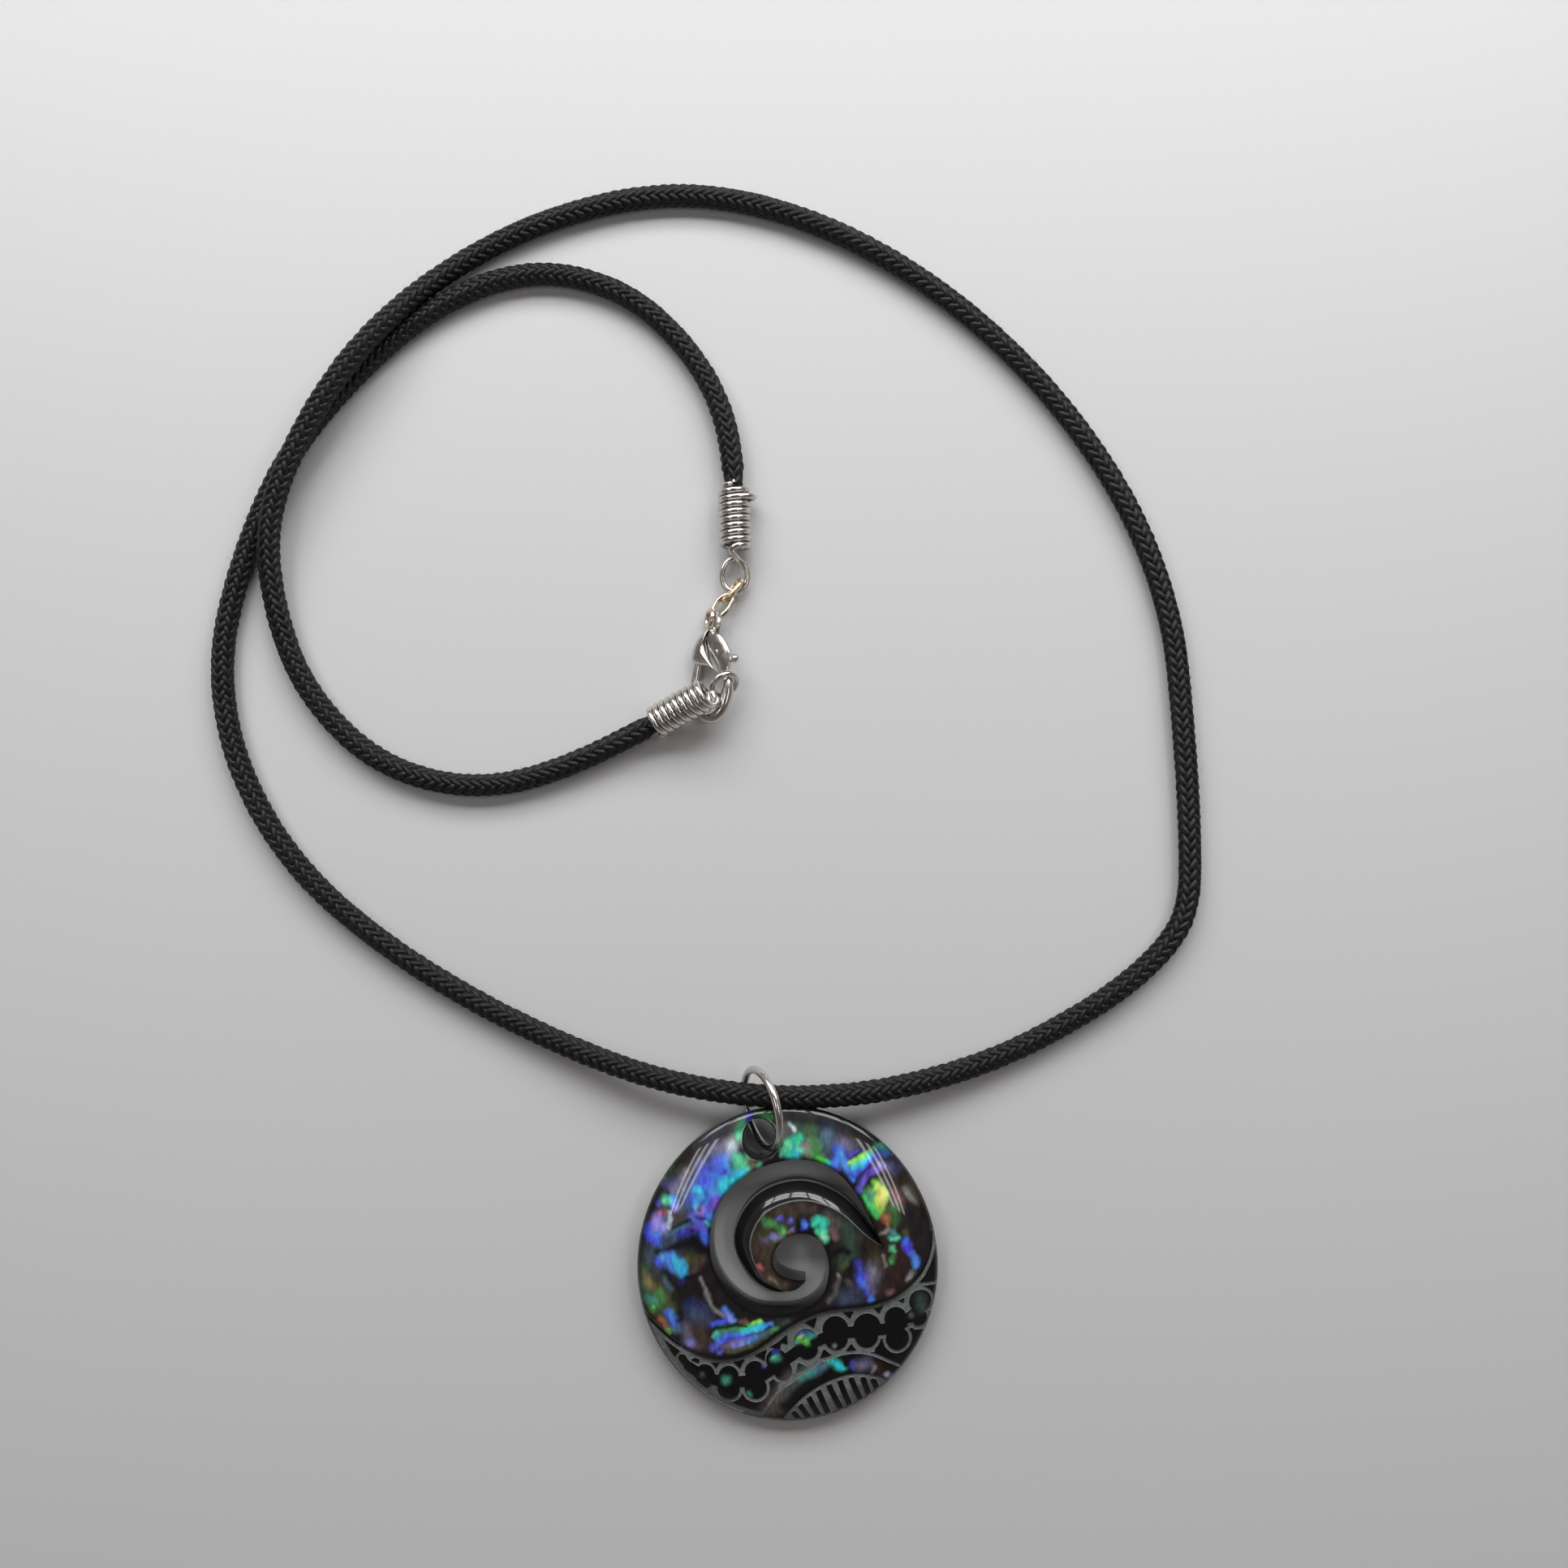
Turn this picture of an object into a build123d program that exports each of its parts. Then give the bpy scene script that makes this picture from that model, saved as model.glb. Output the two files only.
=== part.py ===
"""Koru pendant on a black braided cord, with coil ends, a short chain and a lobster clasp.

Millimetres, +Z up. The necklace lies on a flat surface at z = 0. The origin is under the middle
of the shell disc, on that surface, +X is to the right and +Y is towards the clasp.
"""
import math
import os

from build123d import *

os.makedirs("parts", exist_ok=True)

# Shell disc
disc_dia = 38.0
disc_thick = 3.8
rim_round = 0.9            # drop of the polished dome from its crown to the rim
rim_width = 2.6            # how far in from the rim that rounding reaches
step_depth = 0.55          # the engraved band lies this much below the raised shell
back_round = 0.3
hole_dia = 4.2             # hanging hole
hole_wall = 1.0            # shell left between the hole and the rim
hole_turn = 12.8           # degrees from +Y towards -X

# Koru opening and its bevels
bevel_drop = 2.3           # how far down the arm's wide bevel reaches
engrave_depth = 0.2
engrave_line = 0.45

# Jump ring
ring_outer = 10.9
ring_wire = 1.0
ring_lean = 25.0           # degrees from upright, top towards +X
ring_turn = 12.0           # degrees of its long line from +Y towards -X

# Cord, coil ends and chain
cord_dia = 3.0
coil_wire = 0.85
coil_wall_pitch = 0.07     # gap from one turn of a coil to the next
coil_outer = 4.4
coil_a_turns = 10
coil_b_turns = 9
coil_b_rise = 20.0         # degrees that the second coil climbs over the clasp
eye_outer = 5.0            # thin upright eye at the end of the second coil
loop_length = 6.25
loop_bite = 1.4            # how far the loop reaches into its coil
loop_width = 4.2
link_wire = 0.5
link_length = 4.0
link_width = 2.8
link_slack = 0.3           # free play of a link on the wire that it hooks over

# Clasp
clasp_length = 13.6        # from the middle of the tail eye to the end of the hook
clasp_width = 6.6
clasp_thick = 3.0
clasp_roll = 28.0          # degrees, the lever's side raised
hook_bar = 1.7
tail_eye = 3.4
tail_wire = 0.7
lever_thick = 0.9
pin_dia = 0.8
nub_dia = 1.15

clearance = 0.1
mouth_gap = 0.3            # from the cord's full section to the first turn round its squeezed end
running_gap = 0.06
floor_gap = 0.03

disc_r = disc_dia / 2


def at(share):
    """A point of the disc's drawing, held as shares of its radius."""
    return Vector(share[0] * disc_r, share[1] * disc_r)


# The koru opening, as shares of the disc's radius: x, y and the width of the bevel there.
# The outer wall runs from the upper right tip round the left and up into the middle.
OUTER_WALL = [
    (0.598, 0.205, 0.000),
    (0.501, 0.376, 0.020),
    (0.403, 0.525, 0.025),
    (0.292, 0.627, 0.025),
    (0.158, 0.681, 0.025),
    (-0.029, 0.681, 0.025),
    (-0.207, 0.622, 0.025),
    (-0.341, 0.531, 0.025),
    (-0.440, 0.418, 0.030),
    (-0.501, 0.278, 0.035),
    (-0.513, 0.107, 0.050),
    (-0.474, -0.043, 0.065),
    (-0.385, -0.183, 0.070),
    (-0.241, -0.284, 0.070),
    (-0.056, -0.314, 0.055),
    (0.125, -0.278, 0.020),
    (0.236, -0.193, 0.020),
    (0.281, -0.043, 0.025),
    (0.263, 0.086, 0.025),
    (0.181, 0.193, 0.025),
    (0.047, 0.209, 0.025),
    (-0.063, 0.123, 0.025),
    (-0.068, 0.011, 0.025),
    (0.030, -0.050, 0.015),
    (0.121, -0.068, 0.000),
]
# The arm's own outer side runs back from its pointed end to the tip, with the wide bevel.
ARM_WALL = [
    (0.121, -0.068, 0.000),
    (0.064, -0.145, 0.022),
    (-0.052, -0.177, 0.060),
    (-0.207, -0.118, 0.090),
    (-0.307, 0.011, 0.105),
    (-0.351, 0.172, 0.120),
    (-0.318, 0.311, 0.120),
    (-0.218, 0.461, 0.120),
    (-0.052, 0.563, 0.120),
    (0.125, 0.579, 0.120),
    (0.292, 0.520, 0.105),
    (0.436, 0.408, 0.085),
    (0.558, 0.257, 0.045),
    (0.598, 0.205, 0.000),
]
# The wave where the raised shell ends and the engraved band begins, from rim to rim.
WAVE = [
    (-0.953, -0.303),
    (-0.829, -0.413),
    (-0.629, -0.537),
    (-0.445, -0.579),
    (-0.245, -0.537),
    (-0.062, -0.418),
    (0.105, -0.320),
    (0.295, -0.262),
    (0.505, -0.241),
    (0.705, -0.178),
    (0.863, -0.057),
    (0.942, 0.084),
    (0.965, 0.262),
]
# The chain of polished beads in the band: x, y and radius.
BEADS = [
    (-0.663, -0.612, 0.050),
    (-0.567, -0.693, 0.080),
    (-0.400, -0.735, 0.104),
    (-0.210, -0.740, 0.122),
    (-0.035, -0.607, 0.100),
    (0.121, -0.497, 0.098),
    (0.321, -0.424, 0.110),
    (0.526, -0.395, 0.114),
    (0.710, -0.372, 0.140),
]
# The line below the beads, and the edge of the hatched field under it.
LOWER_LINE = [
    (0.776, -0.668),
    (0.647, -0.584),
    (0.453, -0.547),
    (0.221, -0.600),
    (0.037, -0.700),
    (-0.089, -0.842),
    (-0.165, -0.945),
]
FIELD_LINE = [
    (0.690, -0.760),
    (0.547, -0.689),
    (0.453, -0.674),
    (0.332, -0.689),
    (0.221, -0.737),
    (0.121, -0.800),
    (0.025, -0.879),
    (-0.035, -0.979),
]
hatch_bars = 10
hatch_first = (0.075, -0.860)
hatch_last = (0.600, -0.700)
hatch_slant = 24.0         # degrees from the disc's up and down, tops to the left
hatch_line = 0.42
island = 0.30              # share of the web's height above each cusp
rim_line_from, rim_line_to = 205.0, 262.0

# The cord's line, chosen by hand: x, y and z of each corner of the route.
CORD_ROUTE = [
    (-7.1, 101.9, 2.25),
    (-7.6, 109.0, 2.0),
    (-12.5, 119.0, 1.5),
    (-21.5, 127.5, 1.5),
    (-34.0, 130.5, 1.5),
    (-47.0, 125.5, 1.5),
    (-58.0, 115.5, 1.5),
    (-66.5, 104.5, 1.5),
    (-71.6, 91.5, 1.5),
    (-74.6, 77.5, 1.5),
    (-71.8, 63.5, 1.5),
    (-63.5, 50.0, 1.5),
    (-50.0, 39.0, 1.5),
    (-33.0, 29.5, 1.5),
    (-14.0, 22.6, 3.9),
    (6.0, 21.0, 3.9),
    (25.0, 25.0, 1.5),
    (40.0, 32.8, 1.5),
    (48.0, 39.2, 1.5),
    (52.0, 45.0, 1.5),
    (52.3, 55.0, 1.5),
    (51.7, 69.0, 1.5),
    (50.4, 84.0, 1.5),
    (44.8, 99.3, 1.5),
    (34.3, 114.6, 1.5),
    (20.0, 128.0, 1.5),
    (3.0, 137.5, 1.5),
    (-14.0, 141.2, 1.5),
    (-31.0, 137.8, 1.5),
    (-45.5, 130.2, 1.5),
    (-55.5, 119.5, 4.9),
    (-63.0, 108.0, 4.9),
    (-68.0, 96.0, 3.9),
    (-67.3, 84.5, 1.8),
    (-63.0, 73.5, 1.5),
    (-53.5, 64.0, 1.5),
    (-40.5, 60.5, 1.5),
    (-27.2, 64.0, 1.5),
    (-17.9, 69.1, 2.25),
]


def spline(points):
    """A smooth edge through points of the disc's drawing."""
    return Spline(*[at(p) for p in points])


def pushed(wall, side):
    """The wall's points moved sideways by their own bevel width."""
    moved = []
    for i, (x, y, bevel) in enumerate(wall):
        before = wall[max(i - 1, 0)]
        after = wall[min(i + 1, len(wall) - 1)]
        dx, dy = after[0] - before[0], after[1] - before[1]
        length = math.hypot(dx, dy)
        moved.append((x + side * bevel * dy / length, y - side * bevel * dx / length))
    return moved


def koru_face(outer, arm):
    """The opening's outline as a flat face, closed from tip to tip."""
    return make_face(Wire([spline(outer), spline(arm)]))


def stroke(points, width):
    """A line of even width along a smooth run of points, as a flat face."""
    return trace(spline(points), width)


def web_face():
    """The frosted ground between the wave and the middle of the bead chain."""
    below = [(x, y) for x, y, _ in reversed(BEADS)]
    top = WAVE[2:-3]
    rest = Polyline(at(top[-1]), *[at(p) for p in below], at(top[0]))
    return make_face(Wire([spline(top), *rest.edges()]))


def wave_height(x):
    """The wave's height at x, both as shares, on straight runs between its points."""
    for (x0, y0), (x1, y1) in zip(WAVE, WAVE[1:]):
        if x0 <= x <= x1:
            return y0 + (y1 - y0) * (x - x0) / (x1 - x0)
    return WAVE[-1][1]


def islands():
    """Small polished triangles left in the web, one above each cusp of the bead chain."""
    shapes = []
    for (x0, y0, r0), (x1, y1, r1) in zip(BEADS, BEADS[1:]):
        reach = math.hypot(x1 - x0, y1 - y0)
        grown0, grown1 = r0 + engrave_line / disc_r, r1 + engrave_line / disc_r
        along = (reach ** 2 + grown0 ** 2 - grown1 ** 2) / (2 * reach)
        up = math.sqrt(max(grown0 ** 2 - along ** 2, 0))
        ux, uy = (x1 - x0) / reach, (y1 - y0) / reach
        x, y = x0 + ux * along - uy * up, y0 + uy * along + ux * up
        room = wave_height(x) - y
        if room > 0:
            turn = math.degrees(math.atan2(uy, ux)) - 90
            triangle = RegularPolygon(island * room * disc_r, 3)
            shapes.append(Pos(*at((x, y + 0.42 * room))) * Rot(0, 0, turn) * triangle)
    return shapes


def rim_arc():
    """A thin frosted line that follows the rim at the lower left."""
    line_r = disc_r - 2.2 * engrave_line
    line = CenterArc((0, 0), line_r, rim_line_from, rim_line_to - rim_line_from)
    return trace(line, engrave_line)


def band_carving(level):
    """The frosted lines of the lower band, as cutters that reach engrave_depth under level."""
    line = engrave_line
    inside = [Pos(*at(b)) * Circle(b[2] * disc_r) for b in BEADS]
    around = [Pos(*at(b)) * Circle(b[2] * disc_r + line) for b in BEADS]
    scallops = (Sketch() + around + web_face()) - inside - islands()
    under_wave = [(x, y - 0.5 * line / disc_r) for x, y in WAVE[1:-2]]
    lines = Sketch() + stroke(under_wave, line) + stroke(LOWER_LINE, line) + stroke(FIELD_LINE, line)
    corner = (0.4, -1.2)
    field = make_face(Wire([spline(FIELD_LINE), Line(at(FIELD_LINE[-1]), at(corner)),
                            Line(at(corner), at(FIELD_LINE[0]))]))
    bars = Sketch()
    for i in range(hatch_bars):
        share = i / (hatch_bars - 1)
        x = hatch_first[0] + share * (hatch_last[0] - hatch_first[0])
        y = hatch_first[1] + share * (hatch_last[1] - hatch_first[1])
        bars += Pos(*at((x, y))) * Rot(0, 0, hatch_slant) * Rectangle(hatch_line, disc_r * 0.6)
    carving = scallops + lines + (bars & field) + rim_arc()
    keep = Circle(disc_r - line) - raised_face()
    return extrude(Pos(0, 0, level - engrave_depth) * (carving & keep), amount=2 * engrave_depth)


def dome_profile():
    """Half of the raised shell's section, turned about the disc's axis."""
    crown_r = disc_r - rim_width
    crown = disc_thick
    shoulder = crown - rim_round
    top = Line((0, crown), (crown_r, crown))
    edge = Bezier((crown_r, crown), (disc_r - 0.25 * rim_width, crown),
                  (disc_r, crown - 0.35 * rim_round), (disc_r, shoulder))
    sides = Polyline((disc_r, shoulder), (disc_r, back_round), (disc_r - back_round, 0), (0, 0), (0, crown))
    return Plane.XZ * make_face(Wire([top, edge, *sides.edges()]))


def raised_face():
    """The part of the disc above the wave, closed far outside the rim."""
    far = 1.5
    start, end = WAVE[0], WAVE[-1]
    out_left = (start[0] * 1.2, start[1])
    out_right = (end[0] * 1.2, end[1])
    closing = Polyline(at(end), at(out_right), at((far, far)), at((-far, far)), at(out_left), at(start))
    return make_face(Wire([spline(WAVE), *closing.edges()]))


def shell_disc():
    body = revolve(dome_profile(), Axis.Z)
    band_level = disc_thick - step_depth
    slab = Pos(0, 0, band_level / 2) * Cylinder(disc_r * 2, band_level)
    raised = extrude(raised_face(), amount=disc_thick * 2)
    body = (body & slab) + (body & raised)
    opening = koru_face(OUTER_WALL, ARM_WALL)
    wide = koru_face(pushed(OUTER_WALL, 1), pushed(ARM_WALL, 1))
    through = extrude(Pos(0, 0, -1) * opening, amount=disc_thick + 2)
    bevel_foot = disc_thick - bevel_drop
    bevels = loft([Pos(0, 0, bevel_foot) * opening, Pos(0, 0, disc_thick + 0.05) * wide], ruled=True)
    hole = Pos(*hole_middle(0)) * Cylinder(hole_dia / 2, disc_thick * 4)
    return body - through - bevels - hole - band_carving(band_level)


def hole_middle(height):
    """The hanging hole's middle on the flat disc."""
    reach = disc_r - hole_wall - hole_dia / 2
    turn = math.radians(hole_turn)
    return Vector(-reach * math.sin(turn), reach * math.cos(turn), height)


# The disc leans back on the jump ring's wire: its lower edge stays on the surface.
lean_rise = 1.7 * ring_wire + clearance
disc_lean = math.degrees(math.asin(lean_rise / (disc_dia - hole_wall)))


def seated(shape):
    """The disc's solid leaned on the ring and moved so that the origin is under its middle."""
    leaned = Rot(disc_lean, 0, 0) * shape
    box = leaned.bounding_box()
    return Pos(-box.center().X, -box.center().Y, -box.min.Z) * leaned


def disc_place():
    """Where a point of the flat disc goes once the disc is seated."""
    plain = Rot(disc_lean, 0, 0) * (Pos(0, 0, disc_thick / 2) * Cylinder(disc_r, disc_thick))
    box = plain.bounding_box()
    return Pos(-box.center().X, -box.center().Y, -box.min.Z) * Rot(disc_lean, 0, 0)


def ring_seat():
    """The jump ring's own plane: its x runs along its long line, its y up its lean."""
    lean, turn = math.radians(ring_lean), math.radians(ring_turn)
    mean = (ring_outer - ring_wire) / 2
    along = Vector(-math.sin(turn), math.cos(turn), 0)
    across = Vector(math.cos(turn), math.sin(turn), 0)
    up = across * math.sin(lean) + Vector(0, 0, math.cos(lean))
    height = mean * math.cos(lean) + ring_wire / 2 + floor_gap
    hole = disc_place() * Pos(*hole_middle(disc_thick / 2))
    middle = hole.position
    fall = (height - middle.Z) * math.tan(lean)
    reach = mean - 0.14 * ring_outer / 2
    centre = Vector(middle.X, middle.Y, 0) + along * reach + across * fall + Vector(0, 0, height)
    return Plane(origin=centre, x_dir=along, z_dir=along.cross(up))


def jump_ring():
    return ring_seat() * Torus((ring_outer - ring_wire) / 2, ring_wire / 2)


def direction(degrees, rise=0.0):
    """A unit vector by its heading from +X and its climb."""
    heading, climb = math.radians(degrees), math.radians(rise)
    return Vector(math.cos(heading) * math.cos(climb), math.sin(heading) * math.cos(climb), math.sin(climb))


# Coil ends: each coil's axis runs from its mouth, where the cord goes in, to its loop.
coil_pitch = coil_wire + coil_wall_pitch
coil_height = coil_outer / 2 + floor_gap
coil_bore = coil_outer - 2 * coil_wire
MOUTH_A = Vector(CORD_ROUTE[0][0], CORD_ROUTE[0][1], coil_height)
MOUTH_B = Vector(CORD_ROUTE[-1][0], CORD_ROUTE[-1][1], coil_height)
AXIS_A = direction(-88.0)
AXIS_B = direction(27.0, coil_b_rise)
EYE_B = direction(28.0)


def coil_reach(turns):
    """How far a coil reaches from its mouth."""
    return mouth_gap + turns * coil_pitch + coil_wire


def oval_ring(length, width, wire):
    """A closed wire link lying flat, its long side along x."""
    path = SlotOverall(length - wire, width - wire).wire()
    start = Plane(origin=path @ 0, z_dir=path % 0)
    return sweep(start * Circle(wire / 2), path=path)


def coil(mouth, axis, turns):
    """A close wound coil from its mouth along its axis."""
    helix = Helix(pitch=coil_pitch, height=turns * coil_pitch, radius=(coil_outer - coil_wire) / 2)
    wound = sweep(Plane(origin=helix @ 0, z_dir=helix % 0) * Circle(coil_wire / 2), path=helix)
    place = Plane(origin=mouth, x_dir=axis.cross(Vector(0, 0, 1)), z_dir=axis)
    return place * (Pos(0, 0, mouth_gap + coil_wire / 2) * wound)


# The clasp lies on its shank and the outer side of its hook. The tail eye, the chain and the
# first coil's loop are threaded at heights that follow from it.
half_width = clasp_width / 2
bar_line = half_width - hook_bar / 2
clasp_height = bar_line * math.sin(math.radians(clasp_roll)) + hook_bar / 2 + floor_gap
eye_slack = tail_eye / 2 - tail_wire - link_wire / 2 - clearance
chain_height = clasp_height - 0.4 * eye_slack
link_1_height = max(link_width / 2 + floor_gap,
                    chain_height + coil_wire / 2 + clearance + link_wire - link_width / 2)

LOOP_A_END = MOUTH_A + AXIS_A * (coil_reach(coil_a_turns) + loop_length - loop_bite - coil_wire / 2)


def coil_end_a():
    """The first coil, with a flat oval loop for the chain."""
    middle = LOOP_A_END - AXIS_A * ((loop_length - coil_wire) / 2)
    seat = Plane(origin=(middle.X, middle.Y, chain_height), x_dir=AXIS_A, z_dir=(0, 0, 1))
    return coil(MOUTH_A, AXIS_A, coil_a_turns) + seat * oval_ring(loop_length, loop_width, coil_wire)


def link(start, heading, height, facing, before):
    """A chain link hooked over the wire at start; before is that wire's thickness."""
    reach = link_length / 2 - link_wire - before / 2 - link_slack
    middle = start + direction(heading) * reach
    seat = Plane(origin=(middle.X, middle.Y, height), x_dir=direction(heading), z_dir=facing)
    far_wire = middle + direction(heading) * (link_length / 2 - link_wire / 2)
    return seat * oval_ring(link_length, link_width, link_wire), far_wire


link_1_heading, link_2_heading = -114.0, -126.0
chain_link_1, LINK_1_END = link(LOOP_A_END, link_1_heading, link_1_height,
                                direction(link_1_heading + 90), coil_wire)
chain_link_2, LINK_2_END = link(LINK_1_END, link_2_heading, chain_height, Vector(0, 0, 1), link_wire)

# Clasp: x runs from the tail eye to the hook, y to the lever's side, z out of its broad face.
clasp_heading = -96.5
EYE = LINK_2_END + direction(clasp_heading) * (0.6 * eye_slack)


def clasp_plane():
    """The clasp's own plane, rolled so that the lever's side is raised."""
    roll = math.radians(clasp_roll)
    along = direction(clasp_heading)
    across = direction(clasp_heading + 90) * math.cos(roll) + Vector(0, 0, math.sin(roll))
    return Plane(origin=(EYE.X, EYE.Y, clasp_height), x_dir=along, z_dir=along.cross(across))


PIVOT = (0.27 * clasp_length, 0.12 * clasp_width)
boss_r = 1.25 * pin_dia
hook_tip = (0.50 * clasp_length, 0.93 * bar_line)
# The shank's sections from the tail eye to the shoulder, as shares of the clasp's length, half
# width and half thickness: place, sideways shift, half width and half thickness.
SHANK = [
    (0.09, 0.00, 0.22, 0.45),
    (0.20, -0.04, 0.50, 0.78),
    (0.33, -0.08, 0.84, 1.00),
    (0.50, -0.16, 0.84, 0.92),
]
# The hook's middle line: place along the clasp and sideways place, as shares.
HOOK = [
    (0.36, -0.70),
    (0.55, -1.02),
    (0.75, -0.86),
    (0.80, 0.00),
    (0.75, 0.86),
    (0.62, 1.06),
]


def clasp_body():
    sections = [
        Plane(origin=(p * clasp_length, s * half_width, 0), x_dir=(0, 1, 0), z_dir=(1, 0, 0))
        * Ellipse(w * half_width, t * clasp_thick / 2)
        for p, s, w, t in SHANK
    ]
    shank = loft(sections)
    far_end = clasp_length - hook_bar / 2
    left = (HOOK[0][0] * clasp_length, HOOK[0][1] * bar_line)
    path = Spline(left, (HOOK[1][0] * clasp_length, HOOK[1][1] * bar_line),
                  (HOOK[2][0] * clasp_length, HOOK[2][1] * bar_line), (far_end, 0),
                  (HOOK[4][0] * clasp_length, HOOK[4][1] * bar_line),
                  (HOOK[5][0] * clasp_length, HOOK[5][1] * bar_line), hook_tip)
    bar = sweep(Plane(origin=path @ 0, z_dir=path % 0) * Circle(hook_bar / 2), path=path)
    tail = Rot(90, 0, 0) * Torus((tail_eye - tail_wire) / 2, tail_wire / 2)
    mouth_cut = Pos(0.62 * clasp_length, half_width, 0) * Rot(0, 0, -35) * Box(
        0.42 * clasp_length, clasp_width, clasp_thick * 2)
    shank = shank - (mouth_cut & Pos(0.5 * clasp_length, half_width, 0) * Box(
        clasp_length, 2 * half_width - 0.4, clasp_thick * 3))
    slot_start = Pos(PIVOT[0] - boss_r - 2 * clearance, PIVOT[1] - boss_r - 2 * clearance, 0)
    slot = slot_start * Box(0.42 * clasp_length, 1.3 * clasp_width, lever_thick + 2 * clearance,
                            align=(Align.MIN, Align.MIN, Align.CENTER))
    bore = Pos(*PIVOT, 0) * Cylinder(pin_dia / 2 + running_gap, clasp_thick * 2)
    return shank - slot - bore + tail + bar


def flat_bar(start, end, width):
    """A round ended bar from start to end, as a flat face."""
    run = end - start
    middle = start + run * 0.5
    angle = math.degrees(math.atan2(run.Y, run.X))
    return Pos(middle.X, middle.Y) * Rot(0, 0, angle) * SlotOverall(run.length, width)


def clasp_lever():
    """The gate's flat lever with its boss, its arm to the hook's tip and its thumb nub."""
    pivot, tip = Vector(*PIVOT), Vector(*hook_tip)
    reach = (tip - pivot).normalized()
    arm = flat_bar(pivot, tip - reach * clearance, 0.62 * hook_bar)
    nub = Vector(PIVOT[0] + 0.085 * clasp_length, half_width + 0.2 * nub_dia)
    plate = arm + Pos(*PIVOT) * Circle(boss_r) + flat_bar(pivot, nub, 0.8 * lever_thick)
    solid = extrude(Pos(0, 0, -lever_thick / 2) * plate, amount=lever_thick)
    solid += Pos(nub.X, nub.Y, 0) * Sphere(nub_dia / 2)
    return solid - Pos(*PIVOT, 0) * Cylinder(pin_dia / 2 + running_gap, clasp_thick)


def lever_pin():
    return Pos(*PIVOT, 0) * Cylinder(pin_dia / 2, 0.86 * clasp_thick)


def coil_end_b():
    """The second coil, whose thin eye stands upright round the clasp's hook."""
    mean = (eye_outer - coil_wire) / 2
    start = MOUTH_B + AXIS_B * (coil_reach(coil_b_turns) - 0.5 * coil_wire)
    middle = start + EYE_B * (mean + 0.6 * coil_wire)
    height = start.Z - 0.4 * eye_outer
    seat = Plane(origin=(middle.X, middle.Y, height), x_dir=EYE_B, z_dir=EYE_B.cross(Vector(0, 0, 1)))
    return coil(MOUTH_B, AXIS_B, coil_b_turns) + seat * Torus(mean, coil_wire / 2)


def corner_radii(points):
    """The radius of each corner: 0.45 of the shorter run, over the tangent of half the turn."""
    radii = []
    for before, corner, after in zip(points, points[1:], points[2:]):
        run_in, run_out = corner - before, after - corner
        turn = math.radians(run_in.get_angle(run_out))
        radii.append(0.45 * min(run_in.length, run_out.length) / math.tan(turn / 2))
    return radii


def cord():
    points = [Vector(*p) for p in CORD_ROUTE]
    radii = corner_radii(points)
    path = FilletPolyline(*points, radius=radii)
    section = Plane(origin=path @ 0, z_dir=path % 0) * Circle(cord_dia / 2)
    tube = sweep(section, path=path)
    expected = math.pi * cord_dia ** 2 / 4 * path.length
    print("cord radii", [round(r, 1) for r in radii])
    print("cord length %.1f, volume over section times length %.4f" % (path.length, tube.volume / expected))
    for mouth, axis, turns in ((MOUTH_A, AXIS_A, coil_a_turns), (MOUTH_B, AXIS_B, coil_b_turns)):
        root = 0.3 * cord_dia
        squeezed = mouth_gap + turns * coil_pitch - loop_bite + root
        inside = Plane(origin=mouth - axis * root, z_dir=axis)
        tube += inside * (Pos(0, 0, squeezed / 2) * Cylinder(coil_bore / 2 - clearance, squeezed))
    return tube


NODES = {
    "shell_disc": seated(shell_disc()),
    "jump_ring": jump_ring(),
    "cord": cord(),
    "coil_end_a": coil_end_a(),
    "coil_end_b": coil_end_b(),
    "chain_link_1": chain_link_1,
    "chain_link_2": chain_link_2,
    "clasp_body": clasp_plane() * clasp_body(),
    "clasp_lever": clasp_plane() * clasp_lever(),
    "lever_pin": clasp_plane() * lever_pin(),
}

for name, shape in NODES.items():
    export_step(shape, "parts/%s.step" % name)
print("lever pivot", (clasp_plane() * Pos(*PIVOT, 0)).position, "axis", clasp_plane().z_dir)
print("disc lean %.2f" % disc_lean, "ring centre", ring_seat().origin, "tail eye", EYE, clasp_height)
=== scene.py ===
"""Koru pendant on a black braided cord. Metres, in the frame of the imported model.

The tables are in millimetres. The disc is drawn flat, with its origin at its middle, and then leaned
on its jump ring as the model has it.
"""

import math
import random

import bpy
import numpy as np
from mathutils import Matrix, Vector, kdtree
from mathutils.geometry import delaunay_2d_cdt


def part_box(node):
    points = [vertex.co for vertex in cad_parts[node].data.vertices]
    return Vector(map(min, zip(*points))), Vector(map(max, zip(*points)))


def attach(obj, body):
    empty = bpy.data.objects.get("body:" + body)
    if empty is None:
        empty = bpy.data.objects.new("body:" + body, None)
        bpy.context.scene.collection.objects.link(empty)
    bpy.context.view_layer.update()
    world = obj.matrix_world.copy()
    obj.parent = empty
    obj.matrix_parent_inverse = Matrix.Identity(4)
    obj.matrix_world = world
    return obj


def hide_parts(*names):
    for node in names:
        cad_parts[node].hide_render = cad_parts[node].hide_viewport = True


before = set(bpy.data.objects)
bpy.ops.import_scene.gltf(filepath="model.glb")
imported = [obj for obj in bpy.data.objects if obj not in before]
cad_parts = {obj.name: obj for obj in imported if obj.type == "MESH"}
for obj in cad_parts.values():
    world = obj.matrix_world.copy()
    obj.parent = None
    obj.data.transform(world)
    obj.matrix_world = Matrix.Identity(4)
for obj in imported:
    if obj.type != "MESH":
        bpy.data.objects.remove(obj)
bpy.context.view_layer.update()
scene = bpy.context.scene
scene.view_settings.view_transform = "Standard"
MM = 0.001
rng = random.Random(7)

# Camera

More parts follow.
